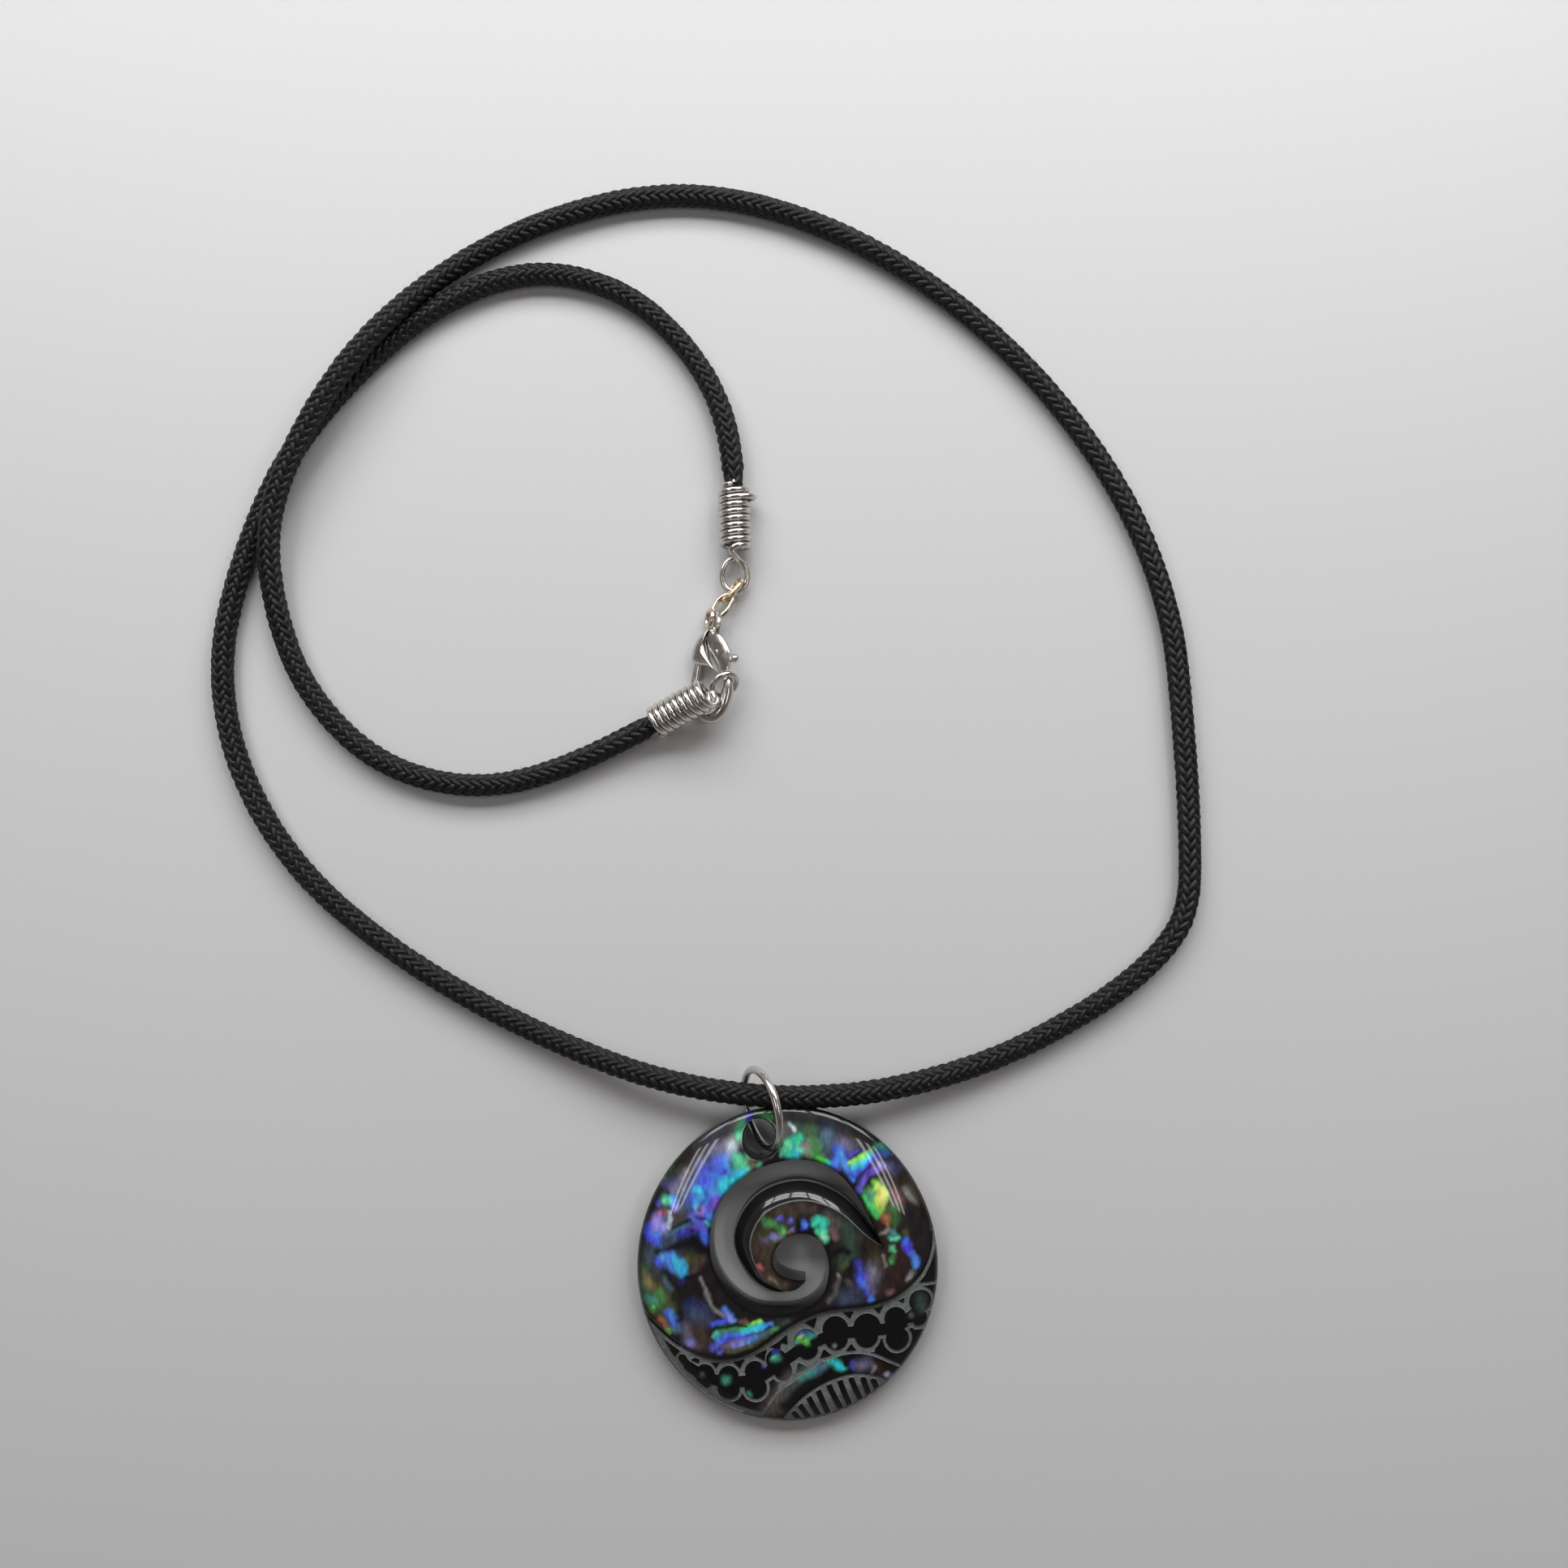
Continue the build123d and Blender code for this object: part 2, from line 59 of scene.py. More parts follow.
camera = bpy.data.objects.new("camera", bpy.data.cameras.new("camera"))
camera.data.sensor_width = 36
camera.data.lens = 36
camera.data.clip_start = 0.01
camera.location = (-0.45 * MM, 47.3 * MM, 205 * MM)
camera.rotation_euler = (math.radians(4), 0, 0)
scene.collection.objects.link(camera)
scene.camera = camera


# Lines and shapes

def along_line(points):
    """How far along a run of points each one is."""
    return np.concatenate([[0], np.cumsum(np.linalg.norm(np.diff(points, axis=0), axis=1))])


def directions(points):
    """Unit vectors along a run of points."""
    t = np.gradient(points, axis=0)
    return t / np.linalg.norm(t, axis=1)[:, None]


def smooth_line(points, step, columns=2):
    """Points about step apart on a cubic spline through the given ones; columns say how many are places."""
    p = np.array(points, float)
    t = along_line(p[:, :columns])
    n, h = len(p), np.diff(t)
    rows, right = np.eye(n), np.zeros_like(p)
    for i in range(1, n - 1):
        rows[i, i - 1:i + 2] = h[i - 1], 2 * (h[i - 1] + h[i]), h[i]
        right[i] = 6 * ((p[i + 1] - p[i]) / h[i] - (p[i] - p[i - 1]) / h[i - 1])
    bend = np.linalg.solve(rows, right)
    s = np.linspace(0, t[-1], max(int(round(t[-1] / step)), 2) + 1)
    k = np.clip(np.searchsorted(t, s, side="right") - 1, 0, n - 2)
    d, e, hk = (s - t[k])[:, None], (t[k + 1] - s)[:, None], h[k][:, None]
    curved = (bend[k] * e ** 3 + bend[k + 1] * d ** 3) / (6 * hk)
    return curved + (p[k] / hk - bend[k] * hk / 6) * e + (p[k + 1] / hk - bend[k + 1] * hk / 6) * d


def line_distance(x, y, line):
    """Distance of each point from a run of straight pieces."""
    best = np.full(x.shape, 1e9)
    for (x0, y0), (x1, y1) in zip(line[:-1], line[1:]):
        dx, dy = x1 - x0, y1 - y0
        t = np.clip(((x - x0) * dx + (y - y0) * dy) / max(dx * dx + dy * dy, 1e-12), 0, 1)
        best = np.minimum(best, (x - x0 - t * dx) ** 2 + (y - y0 - t * dy) ** 2)
    return np.sqrt(best)


def inside(x, y, loop):
    odd = np.zeros(x.shape, bool)
    for (x0, y0), (x1, y1) in zip(loop, np.roll(loop, -1, axis=0)):
        if y1 != y0:
            odd ^= ((y0 > y) != (y1 > y)) & (x < (x1 - x0) * (y - y0) / (y1 - y0) + x0)
    return odd


def region(x, y, loop):
    """Distance from the edge of a closed shape, positive inside it."""
    loop = np.asarray(loop, float)
    far = line_distance(x, y, np.vstack([loop, loop[:1]]))
    return np.where(inside(x, y, loop), far, -far)


def step_up(low, high, value):
    t = np.clip((value - low) / (high - low), 0, 1)
    return t * t * (3 - 2 * t)


def turns_of(n, phase=0.0):
    """n angles round a circle."""
    return (np.arange(n) + phase) * 2 * math.pi / n


def shifted(faces, base):
    return [tuple(base + i for i in face) for face in faces]


def joined(*parts):
    """Several lists of points and faces as one."""
    verts, faces = [], []
    for more, their_faces in parts:
        faces.extend(shifted(their_faces, len(verts)))
        verts.extend(more)
    return np.array(verts), faces


def ring_faces(rings, around, looped=False):
    """Quads between rings of points that follow each other; looped joins the last ring to the first."""
    return [(i * around + j, i * around + (j + 1) % around,
             (i + 1) % rings * around + (j + 1) % around, (i + 1) % rings * around + j)
            for i in range(rings if looped else rings - 1) for j in range(around)]


def end_faces(total, around):
    """The two faces that close a run of rings."""
    return [tuple(range(around))[::-1], tuple(range(total - around, total))]


def tube(points, radius, sides, close=True):
    """A plain tube round a line; radius may be one value or one a point."""
    t = directions(points)
    first = np.cross(t[0], (0, 0, 1) if abs(t[0][2]) < 0.9 else (1, 0, 0))
    normals = [first / np.linalg.norm(first)]
    for d in t[1:]:
        n = normals[-1] - d * np.dot(normals[-1], d)
        normals.append(n / np.linalg.norm(n))
    normals = np.array(normals)
    sideways = np.cross(t, normals)
    radius = np.broadcast_to(radius, len(points))
    verts = [p + r * (math.cos(w) * n + math.sin(w) * m)
             for p, r, n, m in zip(points, radius, normals, sideways) for w in turns_of(sides)]
    faces = ring_faces(len(points), sides)
    if close:
        faces += end_faces(len(verts), sides)
    return verts, faces


def mesh_piece(name, verts, faces, materials, slots=None, sharp=None, slot_name=None):
    """A smooth shaded object from points in millimetres."""
    mesh = bpy.data.meshes.new(name)
    places = [tuple(v) for v in np.asarray(verts) * MM]
    mesh.from_pydata(places, [], [tuple(int(i) for i in face) for face in faces])
    for m in materials:
        mesh.materials.append(m)
    if slots is not None:
        mesh.polygons.foreach_set("material_index", np.asarray(slots, np.int32))
    mesh.shade_smooth()
    if sharp:
        mesh.set_sharp_from_angle(angle=math.radians(sharp))
    mesh.update()
    piece = bpy.data.objects.new(name, mesh)
    scene.collection.objects.link(piece)
    return piece


# Materials

def new_material(name, **sockets):
    """A material with its Principled shader, whose plain values are set by name."""
    m = bpy.data.materials.new(name)
    m.use_nodes = True
    shader = m.node_tree.nodes["Principled BSDF"]
    for key, value in sockets.items():
        shader.inputs[key.replace("_", " ")].default_value = value
    return m, m.node_tree, shader


def noise_node(tree, scale, detail=3.0, rough=0.5, stretch=None):
    coords = tree.nodes.new("ShaderNodeTexCoord")
    tex = tree.nodes.new("ShaderNodeTexNoise")
    tex.inputs["Scale"].default_value = scale
    tex.inputs["Detail"].default_value = detail
    tex.inputs["Roughness"].default_value = rough
    source = coords.outputs["Object"]
    if stretch:
        turn = tree.nodes.new("ShaderNodeMapping")
        turn.inputs["Scale"].default_value = stretch[0]
        turn.inputs["Rotation"].default_value = stretch[1]
        tree.links.new(source, turn.inputs["Vector"])
        source = turn.outputs["Vector"]
    tree.links.new(source, tex.inputs["Vector"])
    return tex.outputs["Fac"]


def span(tree, fac, low, high):
    """The middle of a noise's range carried to a new range."""
    n = tree.nodes.new("ShaderNodeMapRange")
    n.inputs["From Min"].default_value, n.inputs["From Max"].default_value = 0.3, 0.7
    n.inputs["To Min"].default_value, n.inputs["To Max"].default_value = low, high
    tree.links.new(fac, n.inputs["Value"])
    return n.outputs["Result"]


def ramp(tree, fac, low, high, between=()):
    """fac as a colour from low to high, with the colours between them at their places."""
    n = tree.nodes.new("ShaderNodeValToRGB")
    stops = n.color_ramp.elements
    stops[0].color, stops[1].color = (*low, 1), (*high, 1)
    for place, colour in between:
        stops.new(place).color = (*colour, 1)
    tree.links.new(fac, n.inputs["Fac"])
    return n.outputs["Color"]


def bump(tree, shader, fac, strength, distance):
    n = tree.nodes.new("ShaderNodeBump")
    n.inputs["Strength"].default_value = strength
    n.inputs["Distance"].default_value = distance
    tree.links.new(fac, n.inputs["Height"])
    tree.links.new(n.outputs["Normal"], shader.inputs["Normal"])


def shell_material():
    m, tree, shader = new_material("paua_shell", Metallic=0.3, Roughness=0.4, Coat_Weight=0.9,
                                   Coat_Roughness=0.05, Specular_IOR_Level=0.2)
    colour = tree.nodes.new("ShaderNodeAttribute")
    colour.attribute_name = "paua"
    growth = noise_node(tree, 620, 5, 0.6, ((2.2, 1, 1), (0, 0, math.radians(-42))))
    shift = noise_node(tree, 420)
    hsv = tree.nodes.new("ShaderNodeHueSaturation")
    hsv.inputs["Saturation"].default_value = 0.95
    tree.links.new(span(tree, shift, 0.47, 0.53), hsv.inputs["Hue"])
    tree.links.new(span(tree, growth, 0.5, 1.32), hsv.inputs["Value"])
    tree.links.new(colour.outputs["Color"], hsv.inputs["Color"])
    tree.links.new(hsv.outputs["Color"], shader.inputs["Base Color"])
    return m


def resin_material():
    m, tree, shader = new_material("black_resin", Roughness=0.2, Coat_Weight=0.9,
                                   Coat_Roughness=0.04, Specular_IOR_Level=0.2)
    tint = ramp(tree, noise_node(tree, 300), (0.005, 0.005, 0.006), (0.016, 0.016, 0.017))
    tree.links.new(tint, shader.inputs["Base Color"])
    return m


def frost_material():
    m, tree, shader = new_material("frosted_line", Roughness=0.65, Specular_IOR_Level=0.3)
    fac = noise_node(tree, 2500, 4, 0.6)
    tint = ramp(tree, span(tree, fac, 0, 1), (0.085, 0.095, 0.094), (0.155, 0.17, 0.167))
    tree.links.new(tint, shader.inputs["Base Color"])
    bump(tree, shader, fac, 0.5, 0.00006)
    return m


def metal_material(name, colour):
    m, tree, shader = new_material(name, Metallic=1.0)
    fac = noise_node(tree, 700)
    tree.links.new(ramp(tree, fac, [0.86 * c for c in colour], colour), shader.inputs["Base Color"])
    tree.links.new(span(tree, noise_node(tree, 1600, 4), 0.16, 0.28), shader.inputs["Roughness"])
    bump(tree, shader, fac, 0.08, 0.00003)
    return m


def cord_material():
    m, tree, shader = new_material(
        "waxed_cotton", Specular_IOR_Level=0.28, Coat_Weight=0.05, Coat_Roughness=0.35)
    shade = tree.nodes.new("ShaderNodeAttribute")
    shade.attribute_name = "wear"
    fibre = noise_node(tree, 5200, 3, 0.6)
    mix = tree.nodes.new("ShaderNodeMath")
    mix.operation = "MULTIPLY"
    tree.links.new(span(tree, fibre, 0.25, 1.0), mix.inputs[0])
    tree.links.new(shade.outputs["Fac"], mix.inputs[1])
    tint = ramp(tree, mix.outputs["Value"], (0.0022, 0.0022, 0.0026), (0.012, 0.0117, 0.0125))
    tree.links.new(tint, shader.inputs["Base Color"])
    tree.links.new(span(tree, fibre, 0.62, 0.36), shader.inputs["Roughness"])
    bump(tree, shader, fibre, 0.5, 0.00005)
    return m


SHELL, RESIN, FROST = shell_material(), resin_material(), frost_material()
NICKEL = metal_material("nickel", (0.68, 0.645, 0.615))
WARM = metal_material("warm_nickel", (0.74, 0.66, 0.54))
GOLD = metal_material("pale_gold", (0.86, 0.72, 0.47))
WAXED = cord_material()

# Cord

CORD_ROUTE = [
    (-7.1, 101.9, 2.25), (-7.6, 109.0, 2.0), (-12.5, 119.0, 1.5), (-21.5, 127.5, 1.5), (-34.0, 130.5, 1.5),
    (-47.0, 125.5, 1.5), (-58.0, 115.5, 1.5), (-66.5, 104.5, 1.5), (-71.6, 91.5, 1.5), (-74.6, 77.5, 1.5),
    (-71.8, 63.5, 1.5), (-63.5, 50.0, 1.5), (-50.0, 39.0, 1.5), (-33.0, 29.5, 1.5), (-14.0, 22.6, 3.9),
    (6.0, 21.0, 3.9), (25.0, 25.0, 1.5), (40.0, 32.8, 1.5), (48.0, 39.2, 1.5), (52.0, 45.0, 1.5),
    (52.3, 55.0, 1.5), (51.7, 69.0, 1.5), (50.4, 84.0, 1.5), (44.8, 99.3, 1.5), (34.3, 114.6, 1.5),
    (20.0, 128.0, 1.5), (3.0, 137.5, 1.5), (-14.0, 141.2, 1.5), (-31.0, 137.8, 1.5), (-45.5, 130.2, 1.5),
    (-55.5, 119.5, 4.9), (-63.0, 108.0, 4.9), (-68.0, 96.0, 3.9), (-67.3, 84.5, 1.8), (-63.0, 73.5, 1.5),
    (-53.5, 64.0, 1.5), (-40.5, 60.5, 1.5), (-27.2, 64.0, 1.5), (-17.9, 69.1, 2.25),
]
CORD_R = 1.5
MOUTH_A, AXIS_A = np.array((-7.1, 101.9, 2.23)), np.array((0.0349, -0.9994, 0.0))
MOUTH_B, AXIS_B = np.array((-17.9, 69.1, 2.23)), np.array((0.8373, 0.4266, 0.3420))
LINE_STEP = 0.25              # between the points of the cord's middle line
INTO_COIL = 2.5               # how far each end runs on inside its coil
SQUEEZED = 0.84               # the cord's share of its size in there
BRAID_PITCH = 1.3
COLUMNS = 8
PLAIT_R = 1.25                # the floats' edges, from the middle line
PLAIT_LIFT = 0.26             # how much their middles stand above them
CORE_R = 1.24
STRAY_FIBRES = 520
FIBRE_FOOT = 1.38             # how far from the middle line they start


def route_line():
    """Even points along the route's NURBS spline, in millimetres."""
    curve = bpy.data.curves.new("route", "CURVE")
    curve.dimensions = "3D"
    curve.resolution_u = 24
    line = curve.splines.new("NURBS")
    line.points.add(len(CORD_ROUTE) - 1)
    for point, (x, y, z) in zip(line.points, CORD_ROUTE):
        point.co = (x * MM, y * MM, z * MM, 1)
    line.order_u = 3
    line.use_endpoint_u = True
    holder = bpy.data.objects.new("route", curve)
    mesh = bpy.data.meshes.new_from_object(holder)
    points = np.array([v.co for v in mesh.vertices]) / MM
    bpy.data.objects.remove(holder)
    bpy.data.meshes.remove(mesh)
    return points


def resampled(points, step):
    along = along_line(points)
    s = np.linspace(0, along[-1], int(round(along[-1] / step)) + 1)
    return np.stack([np.interp(s, along, points[:, k]) for k in range(3)], 1), along[-1]


def carried(points):
    """The tangent, the side and the upward direction along a line that mostly lies flat."""
    t = directions(points)
    side = np.cross(t, (0, 0, 1))
    side /= np.linalg.norm(side, axis=1)[:, None]
    return t, side, np.cross(side, t)


def braid(points, length, squeeze):
    """The cord's plaits: short pillow-like floats in eight columns, leaning left and right by turns."""
    fine_step = length / (len(points) - 1)
    _, side, up = carried(points)
    a, b = np.linspace(-1.2, 1.2, 7), np.linspace(-1, 1, 5)
    grid_a, grid_b = [g.ravel() for g in np.meshgrid(a, b, indexing="ij")]
    quads = [(i * len(b) + j, (i + 1) * len(b) + j, (i + 1) * len(b) + j + 1, i * len(b) + j + 1)
             for i in range(len(a) - 1) for j in range(len(b) - 1)]
    lean, width, half_arc = 0.5 * BRAID_PITCH, 0.43, math.pi / COLUMNS
    tip = math.hypot(CORD_R * half_arc, lean)
    lift = np.cos(grid_b * math.pi / 2) ** 0.8 * PLAIT_LIFT * (1 - 0.5 * np.abs(grid_a / 1.2) ** 3)
    verts, faces, wear = [], [], []
    for row in range(int(length / BRAID_PITCH)):
        for column in range(COLUMNS):
            turn = -1 if column % 2 else 1
            s0 = (row + 0.5 + 0.5 * (column % 2)) * BRAID_PITCH + rng.uniform(-0.03, 0.03)
            wide = width * rng.uniform(0.9, 1.08)
            ds = grid_a * lean - turn * grid_b * wide * CORD_R * half_arc / tip
            arc = turn * grid_a * half_arc + grid_b * wide * lean / tip / CORD_R
            roll = 0.35 * math.sin(s0 / 31 + 0.6) + 0.22 * math.sin(s0 / 12.3)
            theta = (column + 0.5) * 2 * half_arc + arc + roll + turn * rng.uniform(-0.02, 0.02)
            radius = PLAIT_R + lift - 0.12 * np.abs(grid_a / 1.2) ** 4 + rng.uniform(-0.03, 0.02)
            s = np.clip((s0 + ds) / fine_step, 0, len(points) - 1.001)
            k = s.astype(int)
            f = (s - k)[:, None]
            centre = points[k] * (1 - f) + points[k + 1] * f
            out = up[k] * np.cos(theta)[:, None] + side[k] * np.sin(theta)[:, None]
            faces.extend(shifted(quads, len(verts)))
            verts.extend(centre + out * (radius * squeeze[k])[:, None])
            wear.extend([min(1.0, max(0.0, rng.gauss(0.55, 0.2)))] * len(grid_a))
    return verts, faces, wear


def fuzz(points):
    """Short stray fibres that stand off the cord."""
    t, side, up = carried(points)
    strands = []
    for _ in range(STRAY_FIBRES):
        k = rng.randrange(20, len(points) - 20)
        theta = rng.uniform(-1.9, 1.9)
        out = up[k] * math.cos(theta) + side[k] * math.sin(theta)
        start = points[k] + out * FIBRE_FOOT
        lean = t[k] * rng.uniform(-1.3, 1.3) + out * rng.uniform(0.25, 0.8)
        lean /= np.linalg.norm(lean)
        bend = np.cross(lean, out) * rng.uniform(-0.5, 0.5) + out * rng.uniform(-0.3, 0.2)
        size = rng.uniform(0.35, 1.1)
        line = np.array([start + lean * size * f + bend * size * f * f for f in (0, 0.35, 0.7, 1)])
        strands.append(tube(line, np.array([0.016, 0.014, 0.011, 0.006]), 3, close=False))
    verts, faces = joined(*strands)
    verts[:, 2] = np.maximum(verts[:, 2], 0.02)
    return verts, faces


route, _ = resampled(route_line(), LINE_STEP)
inner = np.arange(LINE_STEP, INTO_COIL + 0.1, LINE_STEP)[:, None]
laid = np.vstack([(MOUTH_A + inner * AXIS_A)[::-1], route, MOUTH_B + inner * AXIS_B])
laid, laid_length = resampled(laid, LINE_STEP)
from_mouth = np.minimum(np.arange(len(laid)), np.arange(len(laid))[::-1]) * LINE_STEP - INTO_COIL
squeeze = SQUEEZED + (1 - SQUEEZED) * step_up(-0.3, 1.2, from_mouth)
plaits, plait_faces, plait_wear = braid(laid, laid_length, squeeze)
core, core_faces = tube(laid[::6], CORE_R * squeeze[::6], 10)
cord_verts, cord_faces = joined((plaits, plait_faces), (core, core_faces))
cord = mesh_piece("cord_braid", cord_verts, cord_faces, [WAXED], slot_name="cord")
wear_layer = cord.data.attributes.new("wear", "FLOAT", "POINT")
wear_layer.data.foreach_set("value", np.array(plait_wear + [0.0] * len(core), np.float32))
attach(cord, "necklace")
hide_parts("cord")
fibres = mesh_piece("cord_fibres", *fuzz(route), [WAXED], slot_name="cord")
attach(fibres, "necklace")

# Disc

DISC_R = 19.0
THICK = 3.8
FLAT_R, DOME_DROP = 13.6, 1.45
BAND = 3.25                   # height of the carved band
RIGHT_REACH, LEFT_REACH = 18.93, 18.6    # how far out the carving runs, lower right and elsewhere
STRIP_R = 17.9                # the frosted strip inside the lower left rim
BEVEL_FOOT = 1.5              # height of the lower edge of the opening's bevel
HOLE_R = 2.1
HOLE = (-3.52, 15.50)
HOLE_EDGE = 0.12              # width of the soft edge round the hole
HOLE_WALL = 1.0
RING_RISE = 1.8               # how far the jump ring's wire lifts the disc at its hole
LEAN = math.asin(RING_RISE / (2 * DISC_R - HOLE_WALL))
WALL_WIDTH = 0.07             # width of the dark step down to the band, seen from above
STRETCH, TOP_RISE = 0.0232, 0.7    # how much taller the disc is, all over and at its top
SHELL_SLOT, RESIN_SLOT, FROST_SLOT = 0, 1, 2

# x, y and bevel width, as shares of the disc's radius
OUTER_WALL = [
    (0.624, 0.150, 0.000), (0.508, 0.366, 0.016), (0.408, 0.520, 0.016), (0.292, 0.627, 0.016),
    (0.158, 0.681, 0.016), (-0.029, 0.681, 0.016), (-0.207, 0.622, 0.016), (-0.338, 0.531, 0.018),
    (-0.430, 0.418, 0.020), (-0.480, 0.278, 0.022), (-0.486, 0.107, 0.024), (-0.442, -0.034, 0.026),
    (-0.354, -0.152, 0.028), (-0.222, -0.238, 0.028), (-0.056, -0.264, 0.024), (0.115, -0.234, 0.016),
    (0.212, -0.158, 0.016), (0.254, -0.030, 0.016), (0.245, 0.090, 0.016), (0.175, 0.193, 0.016),
    (0.047, 0.209, 0.016), (-0.063, 0.123, 0.016), (-0.068, 0.011, 0.016), (0.030, -0.050, 0.012),
    (0.121, -0.068, 0.000),
]
ARM_WALL = [
    (0.121, -0.068, 0.000), (0.060, -0.150, 0.022), (-0.056, -0.184, 0.060), (-0.210, -0.124, 0.090),
    (-0.312, 0.005, 0.105), (-0.362, 0.172, 0.120), (-0.326, 0.311, 0.120), (-0.222, 0.450, 0.120),
    (-0.052, 0.538, 0.120), (0.125, 0.554, 0.115), (0.292, 0.500, 0.100), (0.442, 0.392, 0.080),
    (0.575, 0.222, 0.040), (0.624, 0.150, 0.000),
]
WAVE = [
    (-0.953, -0.303), (-0.829, -0.413), (-0.629, -0.537), (-0.445, -0.579), (-0.245, -0.537),
    (-0.062, -0.418), (0.105, -0.320), (0.295, -0.262), (0.505, -0.241), (0.705, -0.178),
    (0.863, -0.057), (0.942, 0.084), (0.965, 0.262),
]
# The polished lobes of the bead chain: x, y and radius in millimetres, an upper and a lower one a bead
LOBES = [
    (-13.2, -11.0, 0.55), (-12.4, -12.0, 0.65), (-10.4, -12.9, 1.25), (-10.5, -13.8, 0.95),
    (-7.4, -13.1, 1.25), (-7.4, -14.6, 1.40), (-4.1, -12.5, 1.25), (-4.0, -14.5, 1.38),
    (-1.4, -11.1, 1.30), (-0.6, -12.4, 1.15), (2.3, -8.8, 1.45), (2.5, -9.8, 1.30),
    (6.0, -7.4, 1.60), (6.1, -8.5, 1.45), (10.0, -7.2, 1.72), (9.9, -8.2, 1.45),
    (13.6, -6.1, 1.42), (13.8, -8.5, 1.45), (16.7, -4.0, 1.40), (16.6, -6.1, 1.00),
]
CHAIN = [
    (-13.2, -11.0), (-12.4, -12.0), (-10.4, -13.3), (-7.4, -13.9), (-4.0, -13.6), (-1.1, -11.7),
    (2.4, -9.3), (6.1, -7.9), (10.0, -7.6), (13.7, -7.2), (16.7, -4.9),
]
# The small polished triangles: x, y, size and turn in degrees; the upper ones point down
UPPER_ISLANDS = [
    (-11.4, -11.1, 0.55, 30), (-9.0, -11.55, 0.6, 0), (-6.1, -11.5, 0.7, 8), (-3.2, -10.6, 0.7, 25),
    (-1.3, -9.5, 0.65, 30), (-0.4, -8.8, 0.6, 40), (3.0, -6.5, 0.85, 22), (7.7, -5.4, 0.75, 8),
    (11.4, -4.9, 0.6, 8), (14.4, -3.9, 0.35, 25),
]
LOWER_ISLANDS = [
    (-9.3, -15.9, 0.6, -30), (1.6, -12.0, 0.62, 25), (4.7, -10.4, 0.62, 15), (8.0, -9.7, 0.55, 0),
]
LONG_ISLAND = [(-16.1, -7.7), (-13.5, -10.0), (-14.3, -11.0)]
UPPER_WEB = [
    (16.8, -4.3), (13.6, -7.2), (9.8, -7.5), (6.1, -7.7), (2.3, -9.6), (-1.0, -12.0), (-4.0, -13.4),
    (-7.4, -14.2), (-8.3, -16.6), (-9.5, -19.5), (-20.0, -19.0), (-20.0, -5.0),
]
LOWER_WEB = [
    (-0.6, -12.4), (2.4, -9.8), (6.1, -8.5), (10.0, -8.2), (11.2, -8.9), (10.9, -10.2), (8.2, -10.1),
    (6.1, -10.6), (4.5, -11.3), (3.0, -12.3), (1.6, -13.2), (0.6, -14.0), (-0.4, -14.6), (-1.6, -15.6),
    (-1.2, -14.2),
]
BLACK_CORNER = [(18.3, 1.6), (17.3, -0.9), (16.5, -1.7), (19.5, -1.7), (19.5, 1.6)]
LOWER_LINE = [(4.6, -11.2), (6.1, -10.6), (8.2, -10.2), (10.4, -10.4), (12.7, -11.3), (15.0, -12.5)]
INLAY_LINE = [(-3.7, -18.6), (-2.5, -16.7), (-1.5, -15.3), (-0.5, -14.2), (0.8, -13.3)]
FIELD_LINE = [
    (-0.9, -19.3), (0.5, -17.4), (3.2, -15.0), (6.0, -13.6), (8.6, -13.0), (10.6, -13.2), (13.0, -14.2),
]
CORNER_LINE = [(16.3, -2.2), (17.0, -1.95), (19.0, -1.9)]
RIM_TICK = [(15.3, -6.8), (16.1, -7.35), (17.6, -7.35)]
# The black bars of the fan: x and y of one end, then of the other
SLOTS = [
    (0.8, -17.7, 1.3, -18.4), (1.6, -16.7, 2.7, -18.4), (2.7, -15.8, 4.0, -18.2), (3.9, -15.0, 5.2, -18.0),
    (5.2, -14.3, 6.9, -17.6), (6.6, -13.8, 7.9, -17.0), (8.0, -13.5, 9.3, -16.4), (9.5, -13.5, 10.3, -15.7),
    (10.8, -13.7, 11.3, -14.9),
]
LINE = 0.42                   # width of the frosted lines
SLOT_HALF = 0.35
CHAIN_HALF, CHAIN_TAIL_HALF = 0.68, 0.5
CUT = 0.12                    # depth of the frosted lines
CUT_SLOPE = 0.075             # and how far in from their edges they reach it
GRID_PITCH = 0.1              # of the grid on which the carving's edges are traced
FILL_PITCH, FILL_ROW = 0.15, 0.13    # of the mesh's points between its kept lines
SNAP = 1e-6                   # points closer than this are one

wave = smooth_line(np.array(WAVE) * DISC_R, 0.2)
far = 1.6 * DISC_R
raised_loop = np.vstack([wave, [(24, wave[-1][1]), (far, far), (-far, far), (-24, wave[0][1])]])


def triangle(x, y, cx, cy, size, turn, down):
    """Distance inside a small triangle, a little wider than it is high."""
    flip = -1 if down else 1
    corners = np.array([(0, 1.0), (-1.25, -0.62), (1.25, -0.62)]) * size * (1, flip)
    c, s = math.cos(math.radians(turn)), math.sin(math.radians(turn))
    return region(x, y, corners @ np.array([(c, s), (-s, c)]) + (cx, cy))


